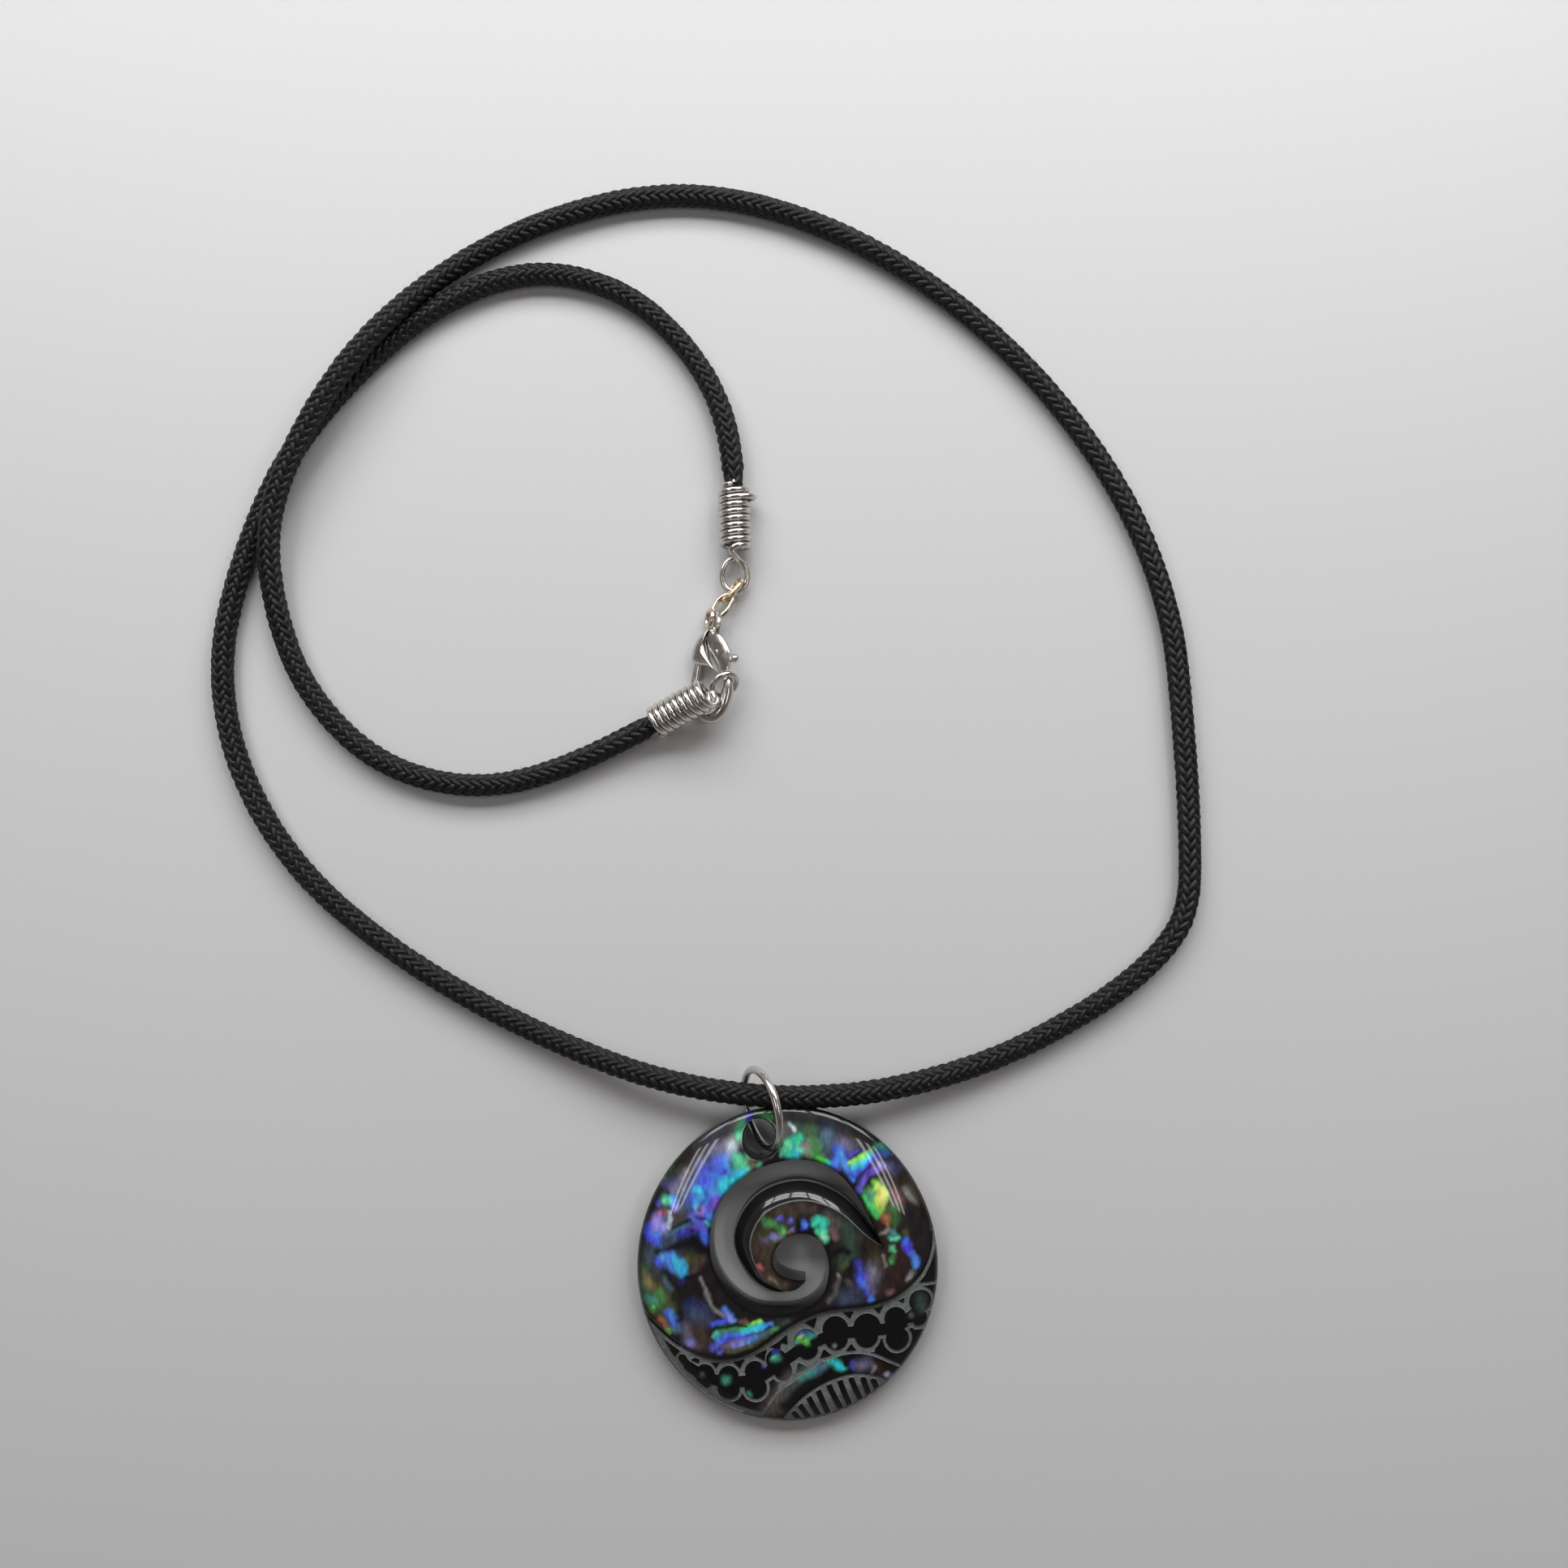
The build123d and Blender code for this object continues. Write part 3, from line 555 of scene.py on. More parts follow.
def carved(x, y):
    """How far inside the frosted carving a point of the band is, negative outside it."""
    r = np.hypot(x, y)
    beads = np.max([lobe_r - np.hypot(x - cx, y - cy) for cx, cy, lobe_r in LOBES]
                   + [CHAIN_HALF - line_distance(x, y, CHAIN[1:]),
                      CHAIN_TAIL_HALF - line_distance(x, y, CHAIN[:2])], axis=0)
    field_line = smooth_line(FIELD_LINE, 0.3)
    ground = np.max([
        beads + LINE,
        region(x, y, np.vstack([wave, UPPER_WEB])),
        region(x, y, LOWER_WEB),
        region(x, y, np.vstack([field_line, [(13.0, -20.0), (-0.9, -21.0)]])),
    ], axis=0)
    keep_out = np.max(
        [beads, region(x, y, LONG_ISLAND), region(x, y, BLACK_CORNER)]
        + [triangle(x, y, *island, True) for island in UPPER_ISLANDS]
        + [triangle(x, y, *island, False) for island in LOWER_ISLANDS]
        + [SLOT_HALF - line_distance(x, y, [(a, b), (c, d)]) for a, b, c, d in SLOTS], axis=0)
    thin = [smooth_line(LOWER_LINE, 0.3), smooth_line(INLAY_LINE, 0.3), field_line, RIM_TICK, CORNER_LINE]
    lines = np.max([0.5 * LINE - line_distance(x, y, line) for line in thin]
                   + [1.2 * LINE - line_distance(x, y, wave)], axis=0)
    strip = np.where((y < -6) & (x < -3.2), r - STRIP_R, -1.0)
    depth = np.max([np.minimum(ground, -keep_out), lines, strip], axis=0)
    rim = np.where(y < 1.6 * x - 9, RIGHT_REACH, LEFT_REACH)
    return np.min([depth, -region(x, y, raised_loop) - 0.05, rim - r], axis=0)


def dome(r):
    """The polished top's height: flat in the middle, falling off more and more towards the rim."""
    return THICK - DOME_DROP * (np.clip((r - FLAT_R) / (DISC_R - FLAT_R), 0, 1)) ** 1.8


def hole_gap(x, y):
    """How far outside the hanging hole a point is."""
    return np.hypot(x - HOLE[0], y - HOLE[1]) - HOLE_R


def heights(x, y):
    """The upper side's height: the dome with its soft edges, and the carved band a step below it."""
    up = region(x, y, raised_loop)
    edge_fall = 0.35 * np.clip((np.hypot(x, y) - 18.6) / 0.4, 0, 1) ** 2
    soft_step = 0.16 * (1 - step_up(0, 0.7, up)) ** 2
    soft_hole = 0.10 * (1 - step_up(-0.01, 0.3, hole_gap(x, y) - HOLE_EDGE)) ** 2
    raised = dome(np.hypot(x, y)) - edge_fall - soft_step - soft_hole
    band = np.minimum(dome(np.hypot(x, y)), BAND) - edge_fall - CUT * step_up(0, CUT_SLOPE, carved(x, y))
    return np.where(up > -0.02, raised, band)


def contour(level, x0, y0, pitch, values):
    """The points and edges where the grid's values cross level."""
    points, edges, index = [], [], {}

    def crossing(i, j, k, l):
        key = (i, j, k, l)
        if key not in index:
            f = (level - values[i, j]) / (values[k, l] - values[i, j])
            f = min(max(f, 0.12), 0.88)
            index[key] = len(points)
            points.append((x0 + pitch * (i + f * (k - i)), y0 + pitch * (j + f * (l - j))))
        return index[key]

    above = values > level
    mixed = above[:-1, :-1].astype(int) + above[1:, :-1] + above[1:, 1:] + above[:-1, 1:]
    for i, j in np.argwhere((mixed > 0) & (mixed < 4)):
        corners = [(i, j), (i + 1, j), (i + 1, j + 1), (i, j + 1)]
        cuts = []
        for p, q in zip(corners, corners[1:] + corners[:1]):
            if above[p] != above[q]:
                cuts.append(crossing(*min(p, q), *max(p, q)))
        edges.append((cuts[0], cuts[1]))
        if len(cuts) == 4:
            edges.append((cuts[2], cuts[3]))
    return points, edges


def right_of(line):
    t = directions(line)
    return np.stack([t[:, 1], -t[:, 0]], 1)


def wall_pair(wall):
    """The opening's edge and the top edge of its bevel, point by point."""
    foot = smooth_line(np.array(wall) * DISC_R, 0.22)
    place = foot[:, :2]
    return place, place + foot[:, 2:3].clip(0) * right_of(place)


def point_tree(points):
    tree = kdtree.KDTree(len(points))
    for i, p in enumerate(points):
        tree.insert((p[0], p[1], 0), i)
    tree.balance()
    return tree


def circle(radius, n, centre=(0, 0), phase=0.0):
    w = turns_of(n, phase)
    return np.stack([centre[0] + radius * np.cos(w), centre[1] + radius * np.sin(w)], 1)


def kept_lines(top):
    """The points and edges that the upper side's mesh keeps: rims, opening, hole, wave and carving."""
    points, edges = [], []

    def add(line, linked=True, closed=False):
        base, n = len(points), len(line)
        points.extend([tuple(p) for p in line])
        if linked:
            edges.extend([(base + i, base + i + 1) for i in range(n - 1)])
        if closed:
            edges.append((base + n - 1, base))

    add(circle(DISC_R, 360), closed=True)
    for n, r in enumerate((18.97, 18.88, 18.7, 18.4, 18.1)):
        add(circle(r, 360, phase=0.5 * (n + 1) % 1), linked=False)
    add(top, closed=True)
    add(circle(HOLE_R + HOLE_EDGE, 80, HOLE), closed=True)
    wave_in = np.array([p for p in wave if math.hypot(*p) < DISC_R - 0.05])
    first, last = [p / np.linalg.norm(p) * (DISC_R - 0.001) for p in (wave_in[0], wave_in[-1])]
    step_line = np.vstack([first, wave_in, last])
    add(step_line)
    below = step_line + WALL_WIDTH * right_of(step_line)
    add(below[np.hypot(*below.T) < DISC_R - 0.12])
    x, y = np.arange(-19.1, 19.11, GRID_PITCH), np.arange(-19.1, 5.4, GRID_PITCH)
    grid = carved(*np.meshgrid(x, y, indexing="ij"))
    for level in (0.0, CUT_SLOPE):
        found, links = contour(level, x[0], y[0], GRID_PITCH, grid)
        edges.extend(shifted(links, len(points)))
        points.extend(found)
    return points, edges


def fill_points(points, top):
    """Points on a six-sided grid, clear of the kept ones, and fewer on the band than on the shell."""
    tree = point_tree(points)
    reach = DISC_R - 0.1
    hexes = np.array([(x, y) for row, y in enumerate(np.arange(-reach, reach, FILL_ROW))
                      for x in np.arange(-reach + 0.5 * FILL_PITCH * (row % 2), reach, FILL_PITCH)
                      if math.hypot(x, y) < DISC_R - 1.0])
    hexes = hexes[~inside(*hexes.T, top)]
    hexes = hexes[hole_gap(*hexes.T) > 0.2]
    on_band = region(*hexes.T, raised_loop) < 0
    clear = [tree.find((x, y, 0))[2] > 0.1 for x, y in hexes]
    return hexes[clear & (~on_band | (np.arange(len(hexes)) % 3 == 0))]


def upper_side(top):
    """The upper side's points, seen from above, with its triangles and their slots."""
    points, edges = kept_lines(top)
    points.extend([tuple(p) for p in fill_points(points, top)])
    out, _, tris, _, _, _ = delaunay_2d_cdt([Vector(p) for p in points], edges, [], 0, SNAP)
    flat, tris = np.array([tuple(v) for v in out]), np.array(tris)
    mid = flat[tris].mean(axis=1)
    tris = tris[~inside(*mid.T, top) & (hole_gap(*mid.T) > HOLE_EDGE)]
    corners = flat[tris]
    area = np.cross(corners[:, 1] - corners[:, 0], corners[:, 2] - corners[:, 0])
    tris[area < 0] = tris[area < 0][:, ::-1]
    tris = tris[np.abs(area) > 1e-9]
    x, y = flat[tris].mean(axis=1).T
    up = region(x, y, raised_loop)
    is_wall = (up < 0) & (up > -WALL_WIDTH)
    is_cut = (up < -0.02) & (carved(x, y) > 0)
    return flat, tris, list(np.where(is_wall, RESIN_SLOT, np.where(is_cut, FROST_SLOT, SHELL_SLOT)))


def open_loops(tris):
    """The open edges of the upper side, as closed runs of points with the walls on their left."""
    used = dict.fromkeys((p, q) for a, b, c in tris for p, q in ((a, b), (b, c), (c, a)))
    before = {q: p for p, q in used if (q, p) not in used}
    loops, seen = [], set()
    for start in before:
        loop, v = [], start
        while v not in seen:
            seen.add(v)
            loop.append(v)
            v = before[v]
        if loop:
            loops.append(loop)
    return loops


def moved_out(line, centre, radius):
    """The line's points moved straight out from a centre to a radius."""
    away = line - centre
    return away / np.linalg.norm(away, axis=1)[:, None] * radius + centre


def wall_rows(line, z, top, foot):
    """The rows of points under an open edge, from its first row down to the back."""
    if math.hypot(*line[0]) > DISC_R - 0.2:
        rows = [(moved_out(line, (0, 0), DISC_R - inwards), height)
                for inwards, height in ((0, 0.35), (0.09, 0.1), (0.3, 0.0))]
    elif hole_gap(*line[0]) < 0.5:
        rows = [(moved_out(line, HOLE, HOLE_R + outwards), height)
                for outwards, height in ((0.03, z - 0.08), (0, z - 0.22), (0, 0.15), (0.1, 0.0))]
    else:
        slope = foot - top
        swell = 0.22 * np.linalg.norm(slope, axis=1)
        rows = [(top + slope * u, z + (BEVEL_FOOT - z) * u + swell * math.sin(math.pi * u))
                for u in (0.08, 0.25, 0.45, 0.65, 0.8, 0.92, 1)]
        rows.append((foot, 0.0))
    return [np.column_stack([place, np.broadcast_to(height, len(line))]) for place, height in rows]


def back_faces(verts, bottoms, foot):
    """Faces of the flat back between the walls' last rows; points that it needs are added to verts."""
    owner = [v for loop in bottoms for v in loop]
    edges = []
    for loop in bottoms:
        base, n = len(edges), len(loop)
        edges.extend([(base + i, base + (i + 1) % n) for i in range(n)])
    out, _, tris, origin, _, _ = delaunay_2d_cdt([Vector(verts[v][:2]) for v in owner], edges, [], 0, SNAP)
    place = np.array([tuple(v) for v in out])
    ids = []
    for spot, source in zip(place, origin):
        ids.append(owner[source[0]] if source else len(verts))
        if not source:
            verts.append(np.array([*spot, 0.0]))
    a, b, c = place[np.array(tris)].transpose(1, 0, 2)
    x, y = (a + b + c).T / 3
    kept = ~inside(x, y, foot) & (hole_gap(x, y) >= 0)
    faces = []
    for tri, counter_clockwise, keep in zip(tris, np.cross(b - a, c - a) > 0, kept):
        if keep:
            face = tuple(ids[i] for i in tri)
            faces.append(face[::-1] if counter_clockwise else face)
    return faces


def disc_mesh():
    outer_foot, outer_top = wall_pair(OUTER_WALL)
    arm_foot, arm_top = wall_pair(ARM_WALL)
    foot = np.vstack([outer_foot[:-1], arm_foot[:-1]])
    top = np.vstack([outer_top[:-1], arm_top[:-1]])
    flat, tris, slots = upper_side(top)
    z = heights(*flat.T)
    verts = list(np.column_stack([flat, z]))
    faces = [tuple(tri) for tri in tris]
    tree = point_tree(top)
    bottoms = []
    for loop in open_loops(tris):
        n = len(loop)
        found = [tree.find((x, y, 0)) for x, y in flat[loop]]
        nearest = [index for _, index, _ in found]
        on_arm = [gap < 0.3 and index >= len(outer_foot) - 1 for _, index, gap in found]
        rows = [loop]
        for row in wall_rows(flat[loop], z[loop], top[nearest], foot[nearest]):
            rows.append(list(range(len(verts), len(verts) + n)))
            verts.extend(row)
        for k, (above, under) in enumerate(zip(rows, rows[1:])):
            # On the koru's arm, the bevel's top row and its last row above the foot take the pale frosted
            # material: painted edge highlights.
            edge_highlight_row = k in (0, len(rows) - 3)
            for i in range(n):
                faces.append((above[i], under[i], under[(i + 1) % n], above[(i + 1) % n]))
                slots.append(FROST_SLOT if on_arm[i] and edge_highlight_row else RESIN_SLOT)
        bottoms.append(rows[-1])
    back = back_faces(verts, bottoms, foot)
    return np.array(verts), faces + back, slots + [RESIN_SLOT] * len(back)


# The shell's colours: sRGB, 0 to 255
PALETTE = {
    "black": (11, 10, 13), "soot": (26, 22, 24), "umber": (48, 33, 29), "brown": (72, 58, 52),
    "tan": (122, 106, 84), "rust": (165, 95, 62), "rose": (122, 86, 88), "red": (192, 78, 88),
    "olive": (78, 84, 48), "khaki": (66, 60, 40), "gold": (132, 118, 62), "moss": (62, 104, 58),
    "fern": (70, 140, 78), "green": (50, 205, 95), "lime": (150, 228, 70), "lemon": (222, 240, 118),
    "mint": (96, 224, 168), "sea": (30, 212, 176), "teal": (64, 150, 132), "pine": (52, 72, 64),
    "cyan": (20, 196, 242), "azure": (60, 140, 245), "blue": (46, 86, 238), "indigo": (50, 52, 176),
    "navy": (32, 40, 104), "violet": (96, 82, 214), "lilac": (140, 134, 222), "mauve": (104, 98, 128),
    "slate": (62, 72, 96), "steel": (78, 112, 132), "ash": (92, 88, 86), "stone": (136, 136, 132),
    "pale": (188, 206, 222),
}
# The brush strokes that lay them on, the lowest first: colour, softness, then the x, y and half width
# of each of the stroke's points in millimetres
# The ash strokes from 6.4,-0.9 to 5.2,-3.8 and at 7.6,-1.6, with the stone stroke at 6.4,-0.6, are a painted
# highlight: the reflection of a window on the rounded edge right of the opening.
# The thin stone stroke from -10.8,-1.1 to -8.1,-5.7 is a painted highlight: the reflection of a window on the
# rounded edge at the opening's lower left.
STROKES = """
brown 1 -5.5,17.2,1.3 -12.5,12.5,1.5; slate 1 -14.5,6,1.6 -15.5,1,1.5; umber 1 3,16.5,1.4 13,10,1.5;
umber 1 11,4,2.2 12.5,-1.5,1.5; khaki 1 -3,3,1.3 0,6.8,1.2; soot 1 -13,-6,1.8 -9.5,-8.5,1.2;
ash 1 -5.8,17.9,0.7 -8,16.7,0.9 -10.3,15.2,0.9 -12.4,13.5,0.6;
mauve 0.9 -7.7,15.6,0.9 -9.3,14.2,1.2 -10.5,12.9,0.9;
slate 0.9 -10,12.9,0.7 -11.2,11.1,0.9 -11.8,10.1,0.7; umber 0.8 -12.4,13.8,0.43 -13.7,12.6,0.36;
steel 0.9 -12.4,8.9,0.7 -13,8.1,0.7; slate 0.8 -13,8.1,0.7 -12.4,7.1,0.43; brown 0.8 -13.7,6.1,0.7;
stone 1 -6.8,16,0.43 -7.2,14.6,0.41; mint 0.7 -5.7,17,0.38 -6.1,16,0.43;
pale 0.8 -7,14.5,0.38 -7.4,13.5,0.35;
blue 0.8 -8,12.3,0.9 -9.3,10.4,1.4 -10.5,8.8,1.2 -10,7.2,1 -9.7,6.2,0.5;
azure 0.9 -8.1,12.8,0.5 -6.9,12.1,0.6 -8.8,9.8,0.7; teal 0.8 -6.5,12.9,0.7 -5,11.8,0.6;
mint 0.8 -6.3,13.5,0.38 -5.5,12.8,0.6 -5.2,12.2,0.5; ash 0.7 -4.6,13,0.36 -4,12.3,0.43;
tan 0.6 -4.3,12.8,0.17; mint 0.5 -3.5,12.6,0.26;
cyan 0.7 -5.5,11.7,0.35 -6.6,11.1,0.6 -7.7,10.4,0.7 -8.3,9.5,0.49;
cyan 0.6 -11.2,9.4,0.38 -10.9,8.7,0.41 -11.5,7.7,0.26; azure 0.7 -11.2,8.9,0.26 -10.3,8.1,0.43;
indigo 0.7 -8,11.8,0.23 -8.3,11.6,0.15; violet 0.8 -8.8,8.5,0.49 -9.4,7.5,0.43 -9.8,7,0.29;
lilac 0.7 -10.9,7.2,0.43; rose 0.6 -11,7.4,0.17; violet 0.7 -12,6.6,0.32 -11.5,6.2,0.23;
azure 0.6 -9.8,6.4,0.38; navy 0.5 -11.6,6.5,0.09 -10.3,6,0.09 -9.6,5.6,0.09;
sea 0.5 -10.3,5.8,0.1 -9.7,5.5,0.12; steel 0.8 -14.7,4.3,0.38 -13.5,4.8,0.38 -12.4,5.4,0.32;
teal 0.7 -14,4.7,0.17 -12.4,5.3,0.15; slate 0.8 -15,3.7,0.43 -13.7,4.1,0.5;
indigo 0.8 -13.5,4.3,0.38 -12.1,4.8,0.5 -11,5.1,0.5 -10.5,4.4,0.5;
violet 0.7 -11.2,5.4,0.29 -10.5,5.1,0.32; blue 0.7 -10.5,4.1,0.38 -10.2,3.3,0.29;
soot 0.5 -15,4.7,0.12 -13.7,5.4,0.13 -12.2,6,0.12;
black 0.6 -16.8,1.9,0.2 -14.7,2.4,0.26 -13,3.3,0.49 -11.8,3.4,0.7 -10.3,2.6,0.35; black 0.5 -12,4.8,0.15;
moss 0.7 -14.9,11.1,0.43 -14.3,11.8,0.38; stone 0.9 -13.2,11.5,0.41 -14.1,9.5,0.32;
lilac 0.8 -15.5,9.9,0.32 -14.3,10.4,0.29; mauve 0.9 -13.5,10.9,0.43 -14,9.6,0.43;
mint 0.5 -15.7,10.5,0.13; brown 0.7 -16.2,9.1,0.35; mint 0.7 -15.5,8.3,0.32 -14.9,8.1,0.29;
azure 0.7 -14.4,8.4,0.29 -14.3,7.7,0.23; lilac 0.7 -14.1,7.4,0.26; violet 0.6 -16.3,7.7,0.2;
rose 0.6 -15.5,6.8,0.32; red 0.6 -16,6.6,0.2; lilac 0.8 -16.3,5.8,0.46 -16.4,5,0.6 -15.7,5,0.41;
blue 0.7 -17.6,5,0.26 -17.7,4.3,0.38 -17.1,3.5,0.41 -16.4,3.2,0.35; azure 0.7 -16.5,4,0.32;
pale 0.9 -14.8,6.7,0.12 -14.9,5,0.12; pine 0.9 -17.9,2.1,0.7 -18.1,0.9,0.6; slate 0.9 -17.4,1.4,0.43;
olive 0.9 -17.9,-1.7,0.9 -16.8,-3,1.2 -15.6,-3.7,0.9 -16,-5,0.7 -14.7,-4.4,0.6;
moss 0.9 -18.1,-0.3,0.43 -18.2,-3,0.41 -16.6,-4.4,0.43; tan 0.9 -18,-1.1,0.38 -17.4,-2.1,0.38;
gold 0.9 -17.6,-1.6,0.2; fern 0.9 -15.9,-3.3,0.49 -16.9,-5,0.29; teal 0.8 -17.8,-3.6,0.29 -17.2,-4,0.35;
steel 0.9 -15.2,-1.3,0.29 -14.6,-2.1,0.35; lime 0.4 -16.7,-4.8,0.07;
azure 0.8 -14.9,-5.4,0.32 -14.5,-6.1,0.41 -14.1,-6.8,0.32; steel 0.8 -13.9,-7.5,0.29 -14.9,-7,0.35;
rust 0.8 -16,-6.2,0.26 -15.5,-6.8,0.26; gold 0.6 -15.2,-7.2,0.17; lime 0.5 -15,-7.5,0.15 -14.8,-7.8,0.1;
soot 0.7 -15.3,-0.4,0.32 -14.4,-1.3,0.32 -13.7,-2.4,0.26;
soot 0.9 -12.5,-1.6,0.9 -12.4,-3.1,1.2 -13.1,-4.7,0.43; navy 0.9 -11.9,-4.7,0.7 -10.8,-5.4,0.7;
slate 1 -11.3,-5.5,0.9 -10.2,-6.1,0.6; mauve 1 -12.7,-7,0.35 -12.4,-8.7,0.43;
lilac 0.9 -12.2,-9.1,0.32 -11.6,-9.3,0.23; brown 0.9 -11.2,-7.5,0.6 -10.5,-8.8,0.7 -11.3,-9.5,0.35;
olive 0.8 -12.5,1.1,0.5 -11.6,1.2,0.41; brown 0.8 -11.9,0.1,0.43 -10.8,1.1,0.38;
slate 0.7 -16.6,1.1,0.26 -16,1,0.35; blue 0.7 -16.3,0.9,0.26 -15.7,0.7,0.32;
azure 0.7 -15.4,1.4,0.43 -14.5,1.3,0.49 -14.4,0.4,0.41;
cyan 0.6 -14.1,1.3,0.26 -13.6,0.6,0.49 -13.2,-0.2,0.46 -13.3,-0.9,0.2; navy 0.6 -13.3,-1.5,0.23;
black 0.5 -13,-1,0.1 -11.3,-0.6,0.1;
stone 0.7 -10.8,-1.1,0.09 -10.1,-3.1,0.12 -9.3,-4.7,0.15 -8.1,-5.7,0.1;
azure 0.7 -7.8,-5,0.26 -7.3,-5.7,0.35 -6.8,-6.2,0.17; lilac 0.7 -7.6,-5.4,0.17 -7.1,-6.1,0.17;
blue 0.6 -9.3,-6.7,0.2 -8.3,-6.5,0.19 -7.8,-6.2,0.19; rose 0.7 -5.2,-6.3,0.2 -5.9,-6.5,0.17;
teal 0.7 -9,-7.5,0.2 -8.7,-7.8,0.23; fern 0.7 -8.3,-7.2,0.26 -7.1,-7.3,0.29 -5.9,-7.3,0.29;
green 0.6 -5.6,-7.1,0.2 -4.4,-6.8,0.23 -3.4,-6.5,0.2; lime 0.5 -4.3,-6.6,0.1 -3.3,-6.3,0.1;
azure 0.6 -7.8,-8.1,0.32 -6.3,-8.1,0.29 -5.2,-7.9,0.23 -3.4,-7.3,0.2 -2.2,-6.7,0.2;
cyan 0.6 -5.5,-7.6,0.23 -4.1,-7.3,0.26 -3,-6.8,0.23;
blue 0.6 -8.3,-8.8,0.23 -7.1,-8.6,0.2 -5.9,-8.4,0.17 -4.7,-8,0.13; mint 0.5 -9.1,-8.2,0.15 -9,-7.8,0.12;
azure 0.6 -8.8,-8.4,0.23; black 0.5 -9.4,-7.3,0.12 -8.1,-7,0.1 -6.3,-6.8,0.1 -5.2,-6.8,0.07;
black 0.5 -8.8,-9.4,0.13 -7.1,-8.9,0.09 -5.5,-8.5,0.07 -3.7,-7.7,0.07 -2.2,-7,0.07;
mauve 0.7 -8,-9.4,0.26 -6.6,-9.2,0.38 -5.2,-8.9,0.41 -3.7,-8.2,0.29;
lilac 0.7 -6.6,-9.1,0.23 -5.2,-8.7,0.23; steel 0.7 -4,-8.4,0.29 -2.7,-7.8,0.23 -1.7,-7.3,0.15;
azure 0.7 -5.5,-8.9,0.17 -4,-8.3,0.15; fern 0.6 -2.2,-7.6,0.13 -1.2,-7.1,0.1;
olive 0.7 -7.8,-10,0.1 -6.1,-9.8,0.13 -4.3,-9.2,0.13 -2.7,-8.2,0.12;
violet 0.7 -9.4,-9.5,0.26 -8.8,-9.1,0.2; violet 0.5 -8.5,-10,0.22; pine 0.8 -0.9,-6.5,0.35 0.2,-6.3,0.26;
blue 0.5 -5,18.1,0.28 -4.7,17.6,0.26; violet 0.5 -4.6,18.3,0.2; fern 0.6 -3.8,18.1,0.24 -2.4,17.9,0.3;
green 0.5 -2.9,17.7,0.18 -2.2,17.8,0.2; mint 0.6 -5.9,16.6,0.26 -6.2,15.9,0.22;
ash 1 -0.5,17.2,0.7 0.7,17.7,0.7 2.7,17.6,0.6; pine 1 0.7,18.2,0.6 2.2,17.2,0.9;
ash 0.8 -0.6,16.2,0.6 -0.2,15.6,0.43; pale 0.5 0.2,17.3,0.1 0.8,16.5,0.12;
moss 0.9 3.2,16.2,0.7 3.8,15.2,0.7; slate 1 4.7,16.7,0.7 5.5,15.6,0.9 5.2,14.5,0.6 4.5,14.2,0.43;
steel 1 5.4,16.7,0.29 4.8,15.6,0.43; mauve 0.9 7.1,15,0.6 8,14.5,0.35;
ash 0.9 6.6,16.5,0.23 9.2,14.9,0.23; stone 0.9 2.1,15,0.41 2.5,14.2,0.41;
fern 0.8 3.3,15.3,0.35 3.8,14.8,0.29; mint 0.6 -0.5,14.5,0.29 -0.6,14,0.2;
sea 0.6 1.5,15.8,0.32 0.5,15.1,0.46 0.4,14,0.49 1.1,13.5,0.35; mint 0.6 -0.2,15.2,0.2 1.7,14.4,0.26;
cyan 0.6 0.8,14.8,0.16 1,14,0.22; fern 0.7 3.2,14,0.35 4.1,13.4,0.38 4.8,13.2,0.26;
green 0.6 3.8,13.6,0.17 4.5,13.2,0.17; sea 0.6 5.1,13.1,0.2 5.5,12.9,0.15;
blue 0.7 6.1,14.5,0.29 6.6,13.8,0.49 6.1,12.9,0.46 5.7,12.6,0.29;
azure 0.7 6.5,14.1,0.2 7.1,13.1,0.2 7.7,11.8,0.23 8.1,10.9,0.17; violet 0.7 6,12.2,0.2;
indigo 0.6 8,13.8,0.23 8.9,13.9,0.17; black 0.6 8.3,13.3,0.17 9.7,13.9,0.13;
lime 0.6 7.8,13,0.12 9.1,13.2,0.17 9.7,13.6,0.13; mint 0.6 8.2,12.6,0.2 9.2,12.9,0.22 9.9,13.3,0.15;
cyan 0.6 8.3,12.1,0.2 9.2,12.5,0.2 10.2,13.1,0.17;
blue 0.6 8.2,11.5,0.26 9.2,12,0.22 10.4,12.8,0.2 11.4,13.2,0.13;
lime 0.5 10.2,14,0.1 11,14.4,0.1 12.1,14.5,0.07;
sea 0.6 10.3,13.6,0.23 11,14.1,0.26 12.4,14.2,0.2 12.9,13.9,0.15;
azure 0.6 10.7,13.4,0.15 11.5,13.7,0.19 12.6,13.7,0.19 13.3,13.5,0.13;
blue 0.5 11.8,13.4,0.12 13.4,13.4,0.1; black 0.6 8.6,10.6,0.15 9.6,11.8,0.13 10.7,12.5,0.12;
violet 0.7 9.1,9.7,0.29 9.4,10.6,0.35 10.4,11.6,0.29 11.1,11.9,0.2;
indigo 0.6 10.1,11.5,0.17 11.3,11.9,0.15;
black 0.6 9.6,9.8,0.13 10.4,10.9,0.17 11.4,11.3,0.2 12.2,10.9,0.2 12.9,10.4,0.15;
mauve 0.9 11.7,12.5,0.38 12.9,12.2,0.43 14,11.8,0.43; lilac 0.9 11.8,12.5,0.17 13.6,11.8,0.2;
gold 0.9 15.1,10.5,0.29 16.1,9.2,0.38 16.5,8.1,0.29; brown 0.9 14.9,10.9,0.29 17.1,7.8,0.32;
stone 0.9 15.1,9.5,0.29 16,8.1,0.26; moss 0.7 12.7,8.4,0.35 13,7.1,0.35;
fern 0.7 10.1,9.5,0.38 9.8,8.8,0.32 10.5,7.8,0.43 11.1,7,0.38;
